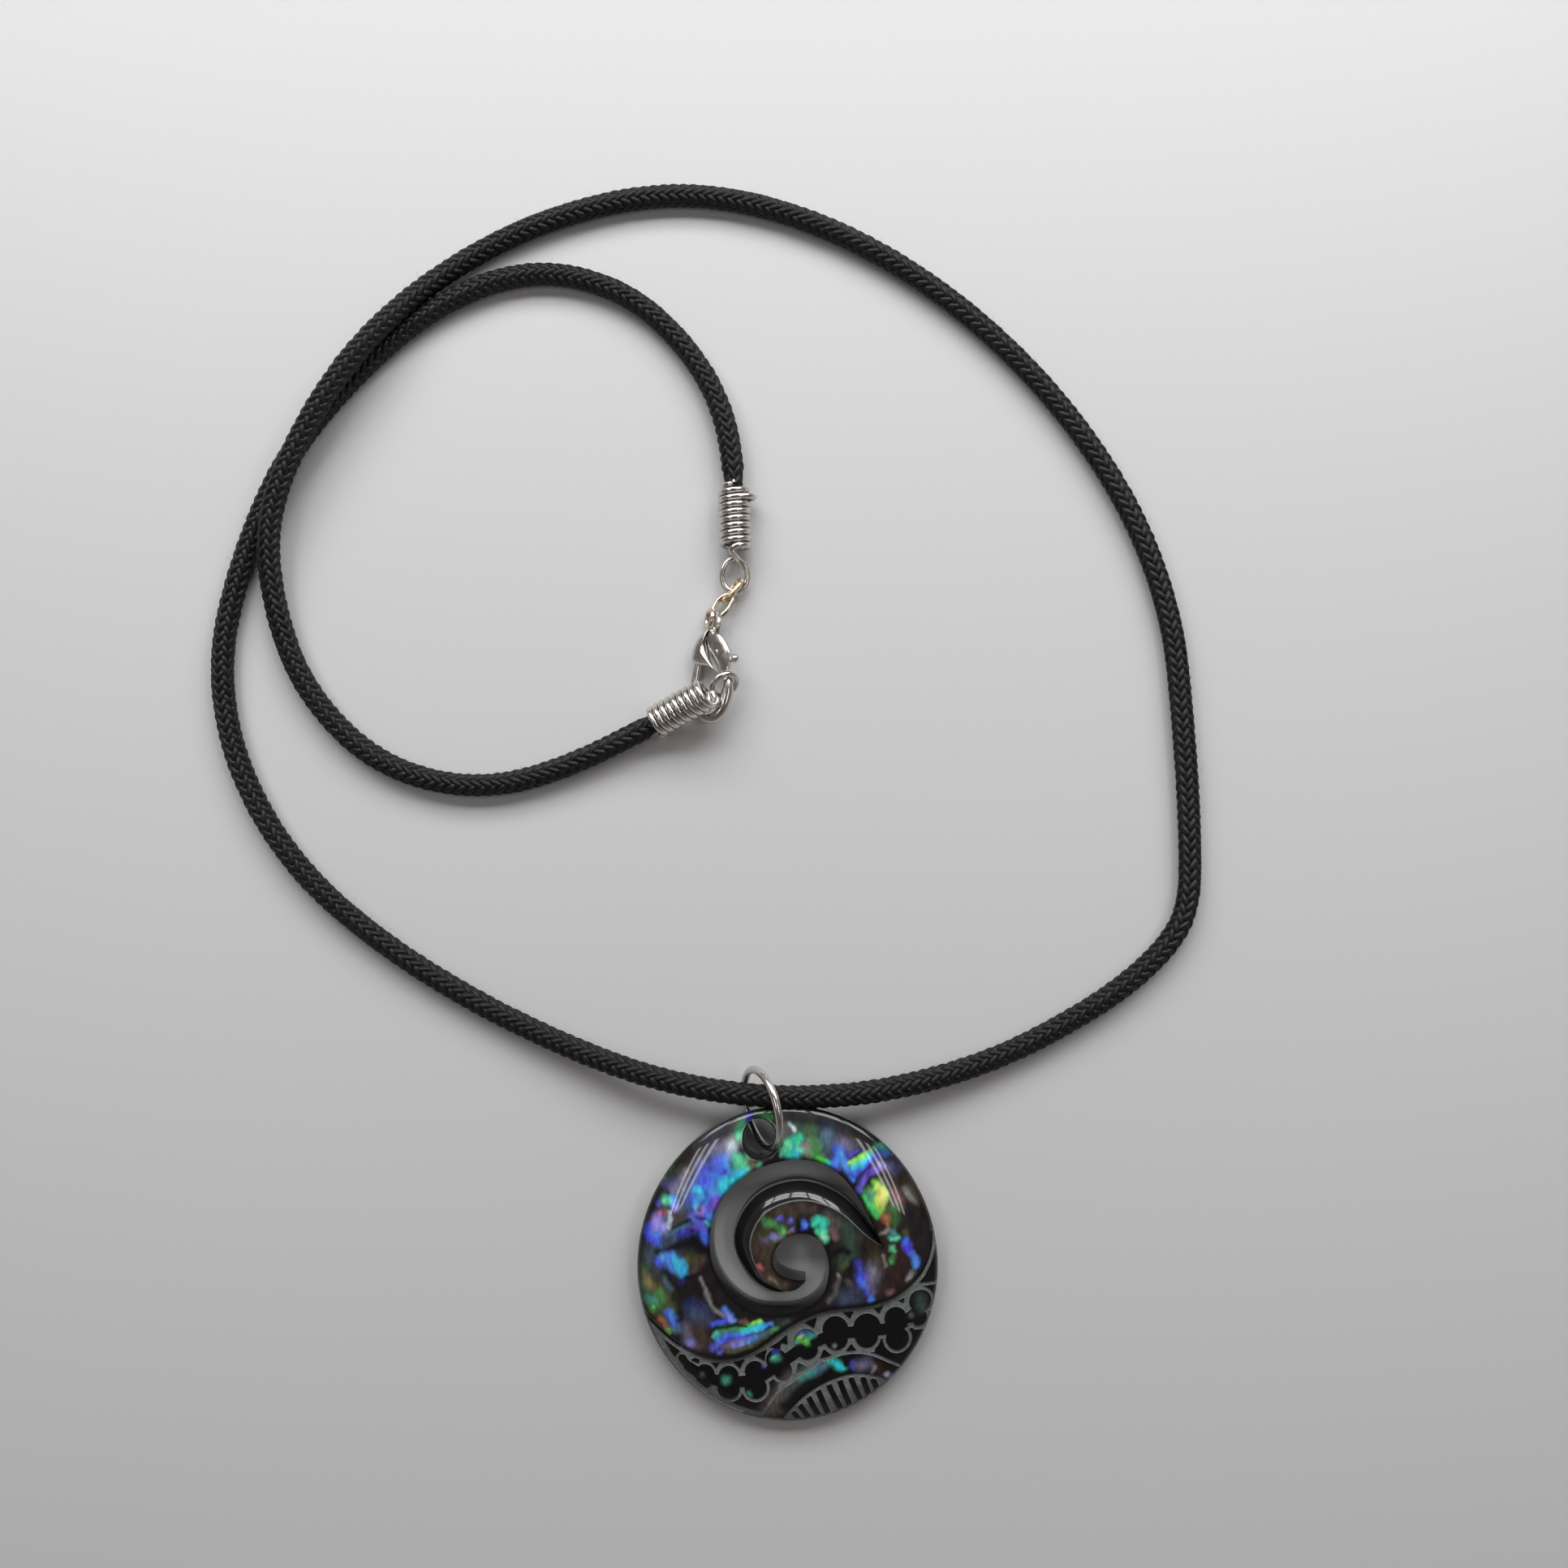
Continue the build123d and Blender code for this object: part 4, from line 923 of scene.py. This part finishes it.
green 0.6 9.7,8.7,0.2 10.5,7.5,0.26 11.2,6.7,0.26; lime 0.7 11.1,10.5,0.26 11.4,9.1,0.7 11.5,7.7,0.46;
lemon 0.6 11.4,10.1,0.26 11.8,9.1,0.46 11.8,8.2,0.38; teal 0.8 10.5,9.1,0.32 10.4,8.7,0.26;
olive 0.6 11.8,10.8,0.13 12.6,10,0.15; rose 0.9 13.4,9.1,0.38 13.8,8.2,0.43;
rust 0.7 12.2,6.5,0.29 12.5,6,0.29 12.6,5.4,0.15; moss 0.9 13.8,7.1,0.43 13.6,6,0.49;
soot 0.8 14.6,6.4,0.49 14.5,5.2,0.29; stone 0.6 11.5,4.3,0.1 12.1,4.4,0.13 12.7,4.9,0.12;
teal 0.7 13.2,4.5,0.26 13.6,3.8,0.26 12.9,4,0.17; mint 0.5 13.8,3.8,0.13 13.1,3.8,0.1;
olive 0.7 14.8,4.3,0.26; mint 0.6 13.1,2.6,0.25 13.3,2.2,0.17; fern 0.7 13.3,1.6,0.19 13.1,1,0.23;
green 0.5 13.1,0.8,0.15; umber 1 14.2,2.1,0.43 14.2,0.4,0.9 13.3,-1.3,1 12.1,-1.8,0.6;
stone 0.6 12.2,0.5,0.15 12.1,1.8,0.1; soot 0.9 15.8,6.1,0.6 16.2,4.7,0.43;
blue 0.6 14.8,3.4,0.29 15.1,2.6,0.32 15.4,2,0.26; azure 0.6 15.7,1.8,0.23 16,1.2,0.35 16.1,0.4,0.23;
stone 0.7 15.8,-0.3,0.15 15.1,-1,0.12; pine 1 7.1,5.4,0.7 7.7,4,0.8 8,2.8,0.7;
khaki 0.9 10.5,1.6,0.7 11.1,0.7,0.6; soot 0.9 9.8,2.4,0.6; pine 0.9 7.1,0.9,0.6 7.9,1.6,0.43;
olive 0.9 7.1,0.6,0.35; black 0.7 6,2,0.2 7.1,2.4,0.23 7.7,2.1,0.17; black 0.7 7.7,0,0.29 8.5,1,0.2;
mauve 0.9 10.5,-0.1,0.6 11.1,-0.9,0.6 10.7,-2,0.5; stone 0.9 11,-0.3,0.29 10.8,-1.3,0.2;
indigo 0.8 8.9,0.6,0.35 9.2,-0.6,0.43 9.4,-1.6,0.43; blue 0.7 9.5,-1.3,0.2 9.9,-2,0.35;
azure 0.6 9.8,-1.9,0.17; blue 0.7 9.2,-0.9,0.26 9.6,-1.7,0.43 10.1,-2.6,0.32; azure 0.6 9.8,-1.7,0.17;
azure 0.7 10.5,-3.7,0.2 10.4,-3.2,0.15; mauve 0.9 10.5,-1,0.49 10.5,-2.4,0.35;
slate 1 8.3,-3.1,0.7 6.9,-3.7,0.6; ash 0.7 6.4,-0.9,0.15 6,-2.6,0.2 5.2,-3.8,0.17;
stone 0.6 6.4,-0.6,0.13; ash 0.8 7.6,-1.6,0.23; umber 0.9 12.1,-1.7,0.7 13,-2.7,0.7;
rose 1 12.9,-2.8,0.26; stone 0.7 15.4,-0.8,0.13 15,-1.2,0.12;
brown 0.9 -0.2,7.1,0.6 1.3,7.5,0.5 3.3,7.4,0.38; ash 0.9 5.1,6.4,0.5 5.8,5.7,0.43;
teal 0.7 3.3,6.2,0.2 4.8,6.2,0.17; sea 0.6 3.4,5.5,0.26 4,6.1,0.29 4.6,5.8,0.29 4.4,4.8,0.41 3.8,4.7,0.26;
mint 0.6 4.4,4.3,0.43 4.7,3.4,0.29; pale 0.6 4.4,3.8,0.2; blue 0.6 2.1,5.6,0.32 1.9,4.9,0.17;
azure 0.6 2.2,5.5,0.17; violet 0.6 0.3,6,0.22; violet 0.7 -0.9,6.2,0.17; lilac 0.6 0.8,4.7,0.23;
rust 0.6 0.2,4.4,0.19; rose 0.8 5.8,4.7,0.29 6,4.1,0.29; fern 0.7 -0.8,4.9,0.35 -0.5,4.7,0.26;
black 0.6 1.3,5.7,0.23 1.1,4.8,0.2 2.6,4.5,0.23; black 0.6 4.9,2.7,0.15 5.4,3.4,0.15;
fern 0.7 -2.6,5.8,0.35 -1.7,5.5,0.29; fern 0.7 -0.7,4.8,0.32; green 0.6 -0.5,4.7,0.15;
stone 0.8 -1.2,3.9,0.32 -0.5,3.8,0.2; lilac 0.7 -1.8,4,0.23; violet 0.6 -1.1,6.2,0.17;
mauve 0.9 -2.8,3.4,0.38; brown 0.9 -3.1,2.4,0.7 -2.1,2,0.6; khaki 0.9 -2.4,1.1,0.6;
red 0.7 -3.7,0.4,0.16 -3.2,0.1,0.13; brown 0.9 -2.7,-0.6,0.5 -1.5,-1.7,0.49 -0.2,-1.8,0.38;
tan 0.7 -2.2,-1.1,0.13 -1.4,-1.6,0.12; teal 0.6 -1.5,-10.9,0.35;
indigo 0.6 -1.9,-10.1,0.1 -1.1,-10.1,0.13; mint 0.5 -1.8,-10.8,0.12; indigo 0.6 -3,-11.8,0.13;
green 0.6 2.1,-8.5,0.49 2.5,-9.1,0.17; lime 0.6 1.9,-8.5,0.38; lemon 0.6 1.7,-8.4,0.15;
indigo 0.6 3.1,-8.1,0.17 1.4,-7.8,0.12; teal 0.6 3.5,-8,0.13 1,-9,0.13; stone 0.5 5.8,-9.4,0.16;
pine 0.8 16.7,-3.8,0.5 17,-5,0.43; ash 0.7 15.5,-5.7,0.17; teal 0.7 -7.7,-13.6,0.35;
ash 0.6 -10.8,-13,0.15; teal 0.7 -4.8,-15.3,0.17; ash 1 -2.1,-17.3,0.7 -0.8,-15.2,0.7 0.8,-13.5,0.7;
pine 1 1.9,-12.8,0.7; brown 1 -2.2,-18,0.43; pine 0.9 -0.2,-14.2,0.5 1.3,-13.2,0.5;
teal 1 1.9,-13.2,0.38 3.2,-12.3,0.43; steel 0.9 3.6,-12.2,0.35 4.7,-11.8,0.32;
sea 0.7 5.4,-11.4,0.26 6.3,-11.7,0.35 7,-12.3,0.17; cyan 0.7 5.8,-11.5,0.15 6.6,-11.9,0.15;
indigo 0.7 8.3,-11.6,0.2 8.1,-12.1,0.17; mauve 0.9 9.1,-11.8,0.43 9.9,-11.6,0.5;
umber 0.9 11.4,-12.1,0.49 11.8,-12.8,0.32; stone 0.6 10.7,-12.6,0.07 10.9,-11.8,0.07;
pale 0.8 12.5,-13.1,0.15; lilac 0.8 12.9,-13.4,0.2 13.5,-13.5,0.23;
black 0.8 -0.5,-16.9,0.32 1.9,-14.3,0.23 4.8,-13.3,0.2 7.7,-12.6,0.12
"""
SHELL_GAIN = 1.35             # how much lighter the colours are laid on


def linear(colour):
    c = np.array(colour) / 255
    return np.where(c <= 0.04045, c / 12.92, ((c + 0.055) / 1.055) ** 2.4)


def stroke_distance(x, y, line, soft):
    """How far a point is from a stroke's edge, as a share of the width that the edge fades over."""
    d = np.full(len(x), 9.0)
    for (x0, y0, w0), (x1, y1, w1) in zip(line[:-1], line[1:]):
        dx, dy = x1 - x0, y1 - y0
        t = np.clip(((x - x0) * dx + (y - y0) * dy) / max(dx * dx + dy * dy, 1e-9), 0, 1)
        wide = 1.3 * (w0 + t * (w1 - w0)) + 0.05
        d = np.minimum(d, (np.hypot(x - x0 - t * dx, y - y0 - t * dy) - wide) / (soft * wide + 0.13))
    return d


def shell_colours(verts):
    """The colour of each point of the disc: dark shell with soft brush strokes over it."""
    x, y = verts[:, 0], verts[:, 1]
    wavy_x = x + 0.09 * np.sin(2.9 * y + 1.3 * x) + 0.035 * np.sin(6.7 * y - 3.1 * x + 1)
    wavy_y = y + 0.09 * np.sin(2.7 * x - 1.1 * y + 2) + 0.035 * np.sin(7.3 * x + 4.3 * y)
    up = region(x, y, raised_loop)
    colour = np.where(up[:, None] > -0.02, 1.2 * linear(PALETTE["soot"]), 0.8 * linear(PALETTE["black"]))
    for entry in STROKES.split(";"):
        name, soft, *places = entry.split()
        line = [tuple(map(float, place.split(","))) for place in places]
        if len(line) == 1:
            line = line * 2
        d = stroke_distance(wavy_x, wavy_y, line, float(soft))
        weight = 0.94 * (1 - step_up(-1, 1, d))[:, None]
        colour = colour * (1 - weight) + linear(PALETTE[name]) * weight
    shade = np.where(up > -0.02, 0.12 + 0.88 * step_up(0.1, 0.75, up), 1.0)
    shade *= 0.2 + 0.8 * step_up(0.05, 0.65, line_distance(x, y, wall_pair(OUTER_WALL)[1][::3]))
    r = np.hypot(x, y)
    dark_rim = 17.9 - 1.1 * step_up(0.2, 0.8, y / r)
    shade *= 1 - 0.8 * step_up(dark_rim, dark_rim + 0.9, r)
    return np.clip(colour * shade[:, None] * SHELL_GAIN, 0, 1)


def taller(verts):
    """The disc a little higher than it is wide, most so at its top, with its lower edge in place."""
    reach = np.hypot(verts[:, 0], verts[:, 1])
    upward = np.clip(verts[:, 1] / np.maximum(reach, 0.1), 0, 1) ** 1.5
    rise = STRETCH * (verts[:, 1] + DISC_R) + TOP_RISE * upward * step_up(14, 19, reach)
    return verts + np.outer(rise, (0, 1, 0))


disc_verts, disc_faces, disc_slots = disc_mesh()
tints = shell_colours(disc_verts)
leaned = taller(disc_verts) @ np.array(Matrix.Rotation(LEAN, 3, "X")).T
low, high = [np.array(c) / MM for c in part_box("shell_disc")]
middle_x = 0.5 * (low[0] + high[0] - leaned[:, 0].min() - leaned[:, 0].max())
placed = leaned + (middle_x, *(low[1:] - leaned[:, 1:].min(0)))
disc = mesh_piece("shell_pendant", placed, disc_faces, [SHELL, RESIN, FROST], disc_slots, 38, "shell")
tint_layer = disc.data.color_attributes.new("paua", "FLOAT_COLOR", "POINT")
tint_layer.data.foreach_set("color", np.hstack([tints, np.ones((len(tints), 1))]).astype(np.float32).ravel())
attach(disc, "necklace")
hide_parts("shell_disc")

# Metal

COIL_R, COIL_PITCH = 1.775, 0.92
COIL_STEP = 0.11              # between the points of a coil's wire
EYE = np.array((-9.2425, 82.2555, 2.0302))
CLASP_X, CLASP_Y = np.array((-0.1132, -0.9936, 0.0)), np.array((0.8772, -0.1000, 0.4695))
CLASP_Z = np.cross(CLASP_X, CLASP_Y)
UP = np.array((0.0, 0.0, 1.0))


def heading(degrees):
    return np.array((math.cos(math.radians(degrees)), math.sin(math.radians(degrees)), 0.0))


def wire(line, radius, sides=14):
    """A tube with rounded ends along a smooth line."""
    along = along_line(line)
    near = np.clip(np.minimum(along, along[-1] - along) / np.max(radius), 0, 1)
    return tube(line, radius * np.sqrt(np.clip(1 - (1 - near) ** 2, 0.01, 1)), sides)


def oval(centre, u, v, reach_u, reach_v, radius, sides=14, steps=72):
    """A closed oval of round wire in the plane of the unit vectors u and v."""
    normal = np.cross(u, v)
    w = turns_of(steps)
    line = np.array(centre) + np.outer(reach_u * np.cos(w), u) + np.outer(reach_v * np.sin(w), v)
    t = np.roll(line, -1, axis=0) - np.roll(line, 1, axis=0)
    out = np.cross(t / np.linalg.norm(t, axis=1)[:, None], normal)
    verts = [p + radius * (math.cos(a) * normal + math.sin(a) * o)
             for p, o in zip(line, out) for a in turns_of(sides)]
    return verts, ring_faces(steps, sides, looped=True)


def ball(centre, radius, axis):
    w = np.linspace(0.03, math.pi - 0.03, 15)
    line = np.array(centre) - np.outer(radius * np.cos(w), axis)
    return tube(line, radius * np.sin(w), 20)


def coil_turns(mouth, axis, first, last, offset, swell=None):
    """Points along a coil's wire between two angles in degrees, 15 degrees apart."""
    side = np.cross(axis, UP)
    side /= np.linalg.norm(side)
    down = np.cross(axis, side)
    w = np.arange(first, last + 1, 15.0)
    radius = COIL_R + (swell(w) if swell else np.zeros(len(w)))
    along = offset + COIL_PITCH * w / 360
    turn = np.radians(w)
    return (mouth + np.outer(along, axis) + np.outer(radius * np.cos(turn), side)
            + np.outer(radius * np.sin(turn), down))


def on_clasp(points):
    """Points in the clasp's own plane: along it, across it and out of it, from its eye."""
    p = np.atleast_2d(points)
    return EYE + np.outer(p[:, 0], CLASP_X) + np.outer(p[:, 1], CLASP_Y) + np.outer(p[:, 2], CLASP_Z)


def rounded_loop(points, times=3):
    """A closed outline with its corners cut again and again."""
    p = np.array(points, float)
    for _ in range(times):
        q = np.roll(p, -1, axis=0)
        p = np.stack([0.75 * p + 0.25 * q, 0.25 * p + 0.75 * q], 1).reshape(-1, 2)
    return p


def lofted(outline, middle, levels):
    """A closed form on the clasp: levels are its heights from below with the share of the outline there."""
    loop = rounded_loop(outline)
    if np.sum(loop[:, 0] * np.roll(loop[:, 1], -1) - loop[:, 1] * np.roll(loop[:, 0], -1)) < 0:
        loop = loop[::-1]
    n = len(loop)
    rows = [np.column_stack([middle + (loop - middle) * share, np.full(n, height)])
            for height, share in levels]
    faces = ring_faces(len(rows), n) + end_faces(len(rows) * n, n)
    return list(on_clasp(np.vstack(rows))), faces


def finding(name, node, paint, parts, body="necklace", slot="metal"):
    """One metal piece in place of its node."""
    verts, faces = joined(*parts)
    piece = mesh_piece(name, verts, faces, [paint], sharp=40, slot_name=slot)
    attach(piece, body)
    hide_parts(node)
    return piece


def coil_a():
    """The coil over the cord's first end: its crimped start, a turn that stands out, and its loop."""
    def uneven(w):
        return -0.42 * (1 - step_up(270, 620, w)) + 0.8 * np.exp(-((w - 905) / 42) ** 2)
    turns = coil_turns(MOUTH_A, AXIS_A, 270, 3495, 0.48, uneven)
    loop = [
        (-7.25, 92.0, 3.75), (-6.95, 91.4, 3.0), (-6.3, 90.8, 2.0), (-5.55, 90.1, 1.5), (-5.24, 89.0, 1.35),
        (-5.62, 87.6, 1.25), (-6.85, 86.85, 1.25), (-8.15, 87.5, 1.25), (-8.56, 89.0, 1.3), (-8.2, 90.4, 1.3),
        (-7.4, 91.2, 1.3), (-6.5, 91.4, 1.3),
    ]
    start = turns[0] + np.array([(0.1, 0.5, 0.25), (0.05, 0.25, 0.15), (0, 0, 0)])
    return [wire(smooth_line(np.vstack([turns, loop]), COIL_STEP, 3), 0.41), wire(start, 0.3)]


def coil_b():
    """The coil over the cord's second end, with the eye that goes round the clasp's hook."""
    turns = coil_turns(MOUTH_B, AXIS_B, 0, 3300, 0.725)
    lead = [(-9.62, 73.05, 3.6), (-9.74, 73.6, 3.35)]
    across = heading(30)
    lean = 0.6 * np.cross(UP, across) + 0.8 * UP
    return [wire(smooth_line(np.vstack([turns, lead]), COIL_STEP, 3), 0.43),
            oval((-8.15, 74.35, 3.2), across, lean, 1.72, 1.72, 0.38)]


CHEEK = [
    (0.45, -0.55), (1.0, -1.45), (1.9, -2.2), (3.05, -2.7), (4.3, -2.85), (5.15, -2.75), (5.4, -1.7),
    (5.55, -0.7), (5.8, 0.15), (6.3, 1.2), (5.5, 0.7), (4.6, 0.0), (3.6, -0.65), (2.9, -0.95), (2.2, -1.15),
    (1.2, -0.9),
]
BACK = [(0.7, -0.65), (1.3, 1.1), (2.3, 1.9), (3.3, 2.55), (3.95, 2.3), (3.9, 1.0), (3.7, -0.5), (2.2, -1.2)]
GATE = [
    (0.85, -0.7), (1.1, 0.4), (1.45, 1.3), (2.4, 2.1), (3.49, 2.85), (4.2, 3.1), (5.0, 3.05), (5.7, 3.0),
    (6.2, 2.65), (6.1, 1.9), (5.11, 1.35), (3.9, 0.35), (2.55, -0.6), (1.6, -0.9),
]
# the hook's middle line on the clasp, with its radius
HOOK = [
    (4.0, -1.9, 0.45), (5.2, -2.2, 0.5), (7.0, -2.35, 0.55), (9.2, -2.3, 0.62), (11.0, -1.6, 0.7),
    (12.05, -0.4, 0.76), (12.1, 0.9, 0.8), (11.3, 1.95, 0.82), (10.0, 2.5, 0.82), (8.5, 2.7, 0.8),
    (7.1, 2.45, 0.74), (6.5, 2.2, 0.66),
]
PIVOT = (3.672, 0.792)


def clasp_parts():
    """The clasp without its lever: cheek with a domed edge, back plate, hook, tail eye and a knob."""
    domed = [(-0.95, 0.62), (-0.75, 0.84), (-0.4, 0.97), (0.1, 1.0), (0.55, 1.0)]
    domed += [(0.55 + 0.95 * math.sin(w), math.cos(w) ** 0.8) for w in np.linspace(0.12, 1.5, 14)]
    flat = [(-0.95, 0.7), (-0.7, 0.9), (-0.3, 1.0), (0.16, 1.0), (0.22, 0.96)]
    hook = smooth_line(HOOK, 0.12)
    hook_line = on_clasp(np.column_stack([hook[:, :2], np.full(len(hook), -0.1)]))
    return [lofted(CHEEK, np.array((3.7, -1.25)), domed), lofted(BACK, np.array((2.6, 0.6)), flat),
            wire(hook_line, hook[:, 2], 20),
            oval(EYE, CLASP_X, 0.97 * UP + 0.24 * heading(-6.5), 1.4, 1.2, 0.37),
            ball(on_clasp((0.95, -0.35, 0.35))[0], 0.45, CLASP_X)]


def gate_parts():
    """The lever: its plate, and the stem and ball of the thumb nub."""
    levels = [(0.28, 0.95), (0.34, 0.99), (0.62, 1.0), (0.72, 0.97), (0.76, 0.9)]
    stem = on_clasp([(4.6, 2.5, 0.5), (4.55, 2.8, 0.5), (4.5, 3.1, 0.5), (4.45, 3.5, 0.5)])
    return [lofted(GATE, np.array((3.4, 1.1)), levels), wire(stem, 0.42),
            ball(on_clasp((4.35, 3.62, 0.55))[0], 0.56, CLASP_Y)]


RING_LEAN = math.radians(25)
ring_along = heading(102)
ring_up = math.sin(RING_LEAN) * heading(12) + math.cos(RING_LEAN) * UP
pin = on_clasp([(*PIVOT, h) for h in (-0.8, 0.2, 0.74, 0.78)])
findings = [
    finding("split_ring", "jump_ring", NICKEL,
            [oval((-3.25, 20.3, 5.0162), ring_along, ring_up, 4.95, 4.95, 0.5, 20, 120)]),
    finding("coil_end_upper", "coil_end_a", NICKEL, coil_a()),
    finding("coil_end_lower", "coil_end_b", NICKEL, coil_b()),
    finding("link_gold", "chain_link_1", GOLD,
            [oval((-7.25, 86.9, 1.6), heading(-128), 0.92 * UP + 0.39 * heading(-38), 1.72, 1.05, 0.36)],
            slot="pale_gold"),
    finding("link_pair", "chain_link_2", WARM,
            [oval((-8.5, 84.9, 1.75), heading(-126), 0.92 * heading(-36) + 0.39 * UP, 1.72, 1.0, 0.36),
             oval((-10.2, 83.2, 1.55), heading(-98), 0.9 * UP + 0.43 * heading(-8), 1.15, 0.9, 0.32)]),
    finding("clasp_shell", "clasp_body", NICKEL, clasp_parts()),
    finding("clasp_gate", "clasp_lever", NICKEL, gate_parts(), body="lever"),
    finding("clasp_pivot", "lever_pin", NICKEL, [tube(pin, np.array((0.4, 0.4, 0.4, 0.3)), 24)]),
]

# Floor and light

floor_mesh = bpy.data.meshes.new("floor")
floor_mesh.from_pydata([(-3, -3, 0), (3, -3, 0), (3, 3, 0), (-3, 3, 0)], [], [(0, 1, 2, 3)])
floor = bpy.data.objects.new("floor", floor_mesh)
floor_mat, _, _ = new_material("pale_floor", Base_Color=(0.552, 0.555, 0.562, 1), Roughness=0.5)
floor_mesh.materials.append(floor_mat)
scene.collection.objects.link(floor)


def area_light(name, place, aim, size, power, colour=(1, 1, 1)):
    light = bpy.data.lights.new(name, "AREA")
    light.shape = "RECTANGLE"
    light.size, light.size_y = size
    light.energy = power
    light.color = colour
    obj = bpy.data.objects.new(name, light)
    obj.location = place
    obj.rotation_euler = (Vector(aim) - Vector(place)).to_track_quat("-Z", "Y").to_euler()
    scene.collection.objects.link(obj)


# A wide window with ten panes on the far side, and three narrow strips on each side of the disc
PANE, PANE_POWER, PANE_COLOUR = (0.14, 0.105), 0.35, (0.985, 0.985, 0.985)
STRIP, STRIP_POWER = (0.013, 0.17), 0.045
for column in range(5):
    for row in range(2):
        place = (0.165 * (column - 2), 0.35 + 0.075 * row, 0.355 - 0.10 * row)
        area_light(f"pane_{column}_{row}", place, (place[0], 0.06, 0), PANE, PANE_POWER, PANE_COLOUR)
for side in (-1, 1):
    for strip in range(3):
        x = side * (0.16 + 0.03 * strip)
        area_light(f"strip_{side + 1}_{strip}", (x, 0.05, 0.36), (x, 0.0501, 0), STRIP, STRIP_POWER)

# The room round the floor: lighter at the horizon than overhead
HORIZON, OVERHEAD = (0.42, 0.42, 0.425), (0.085, 0.08, 0.078)
BETWEEN = [(0.2, (0.20, 0.185, 0.175)), (0.55, (0.13, 0.105, 0.09)), (0.86, (0.07, 0.06, 0.055))]
world = bpy.data.worlds.new("room")
world.use_nodes = True
nodes, links = world.node_tree.nodes, world.node_tree.links
direction = nodes.new("ShaderNodeTexCoord")
split = nodes.new("ShaderNodeSeparateXYZ")
links.new(direction.outputs["Generated"], split.inputs["Vector"])
sky = ramp(world.node_tree, split.outputs["Z"], HORIZON, OVERHEAD, BETWEEN)
links.new(sky, nodes["Background"].inputs["Color"])
scene.world = world
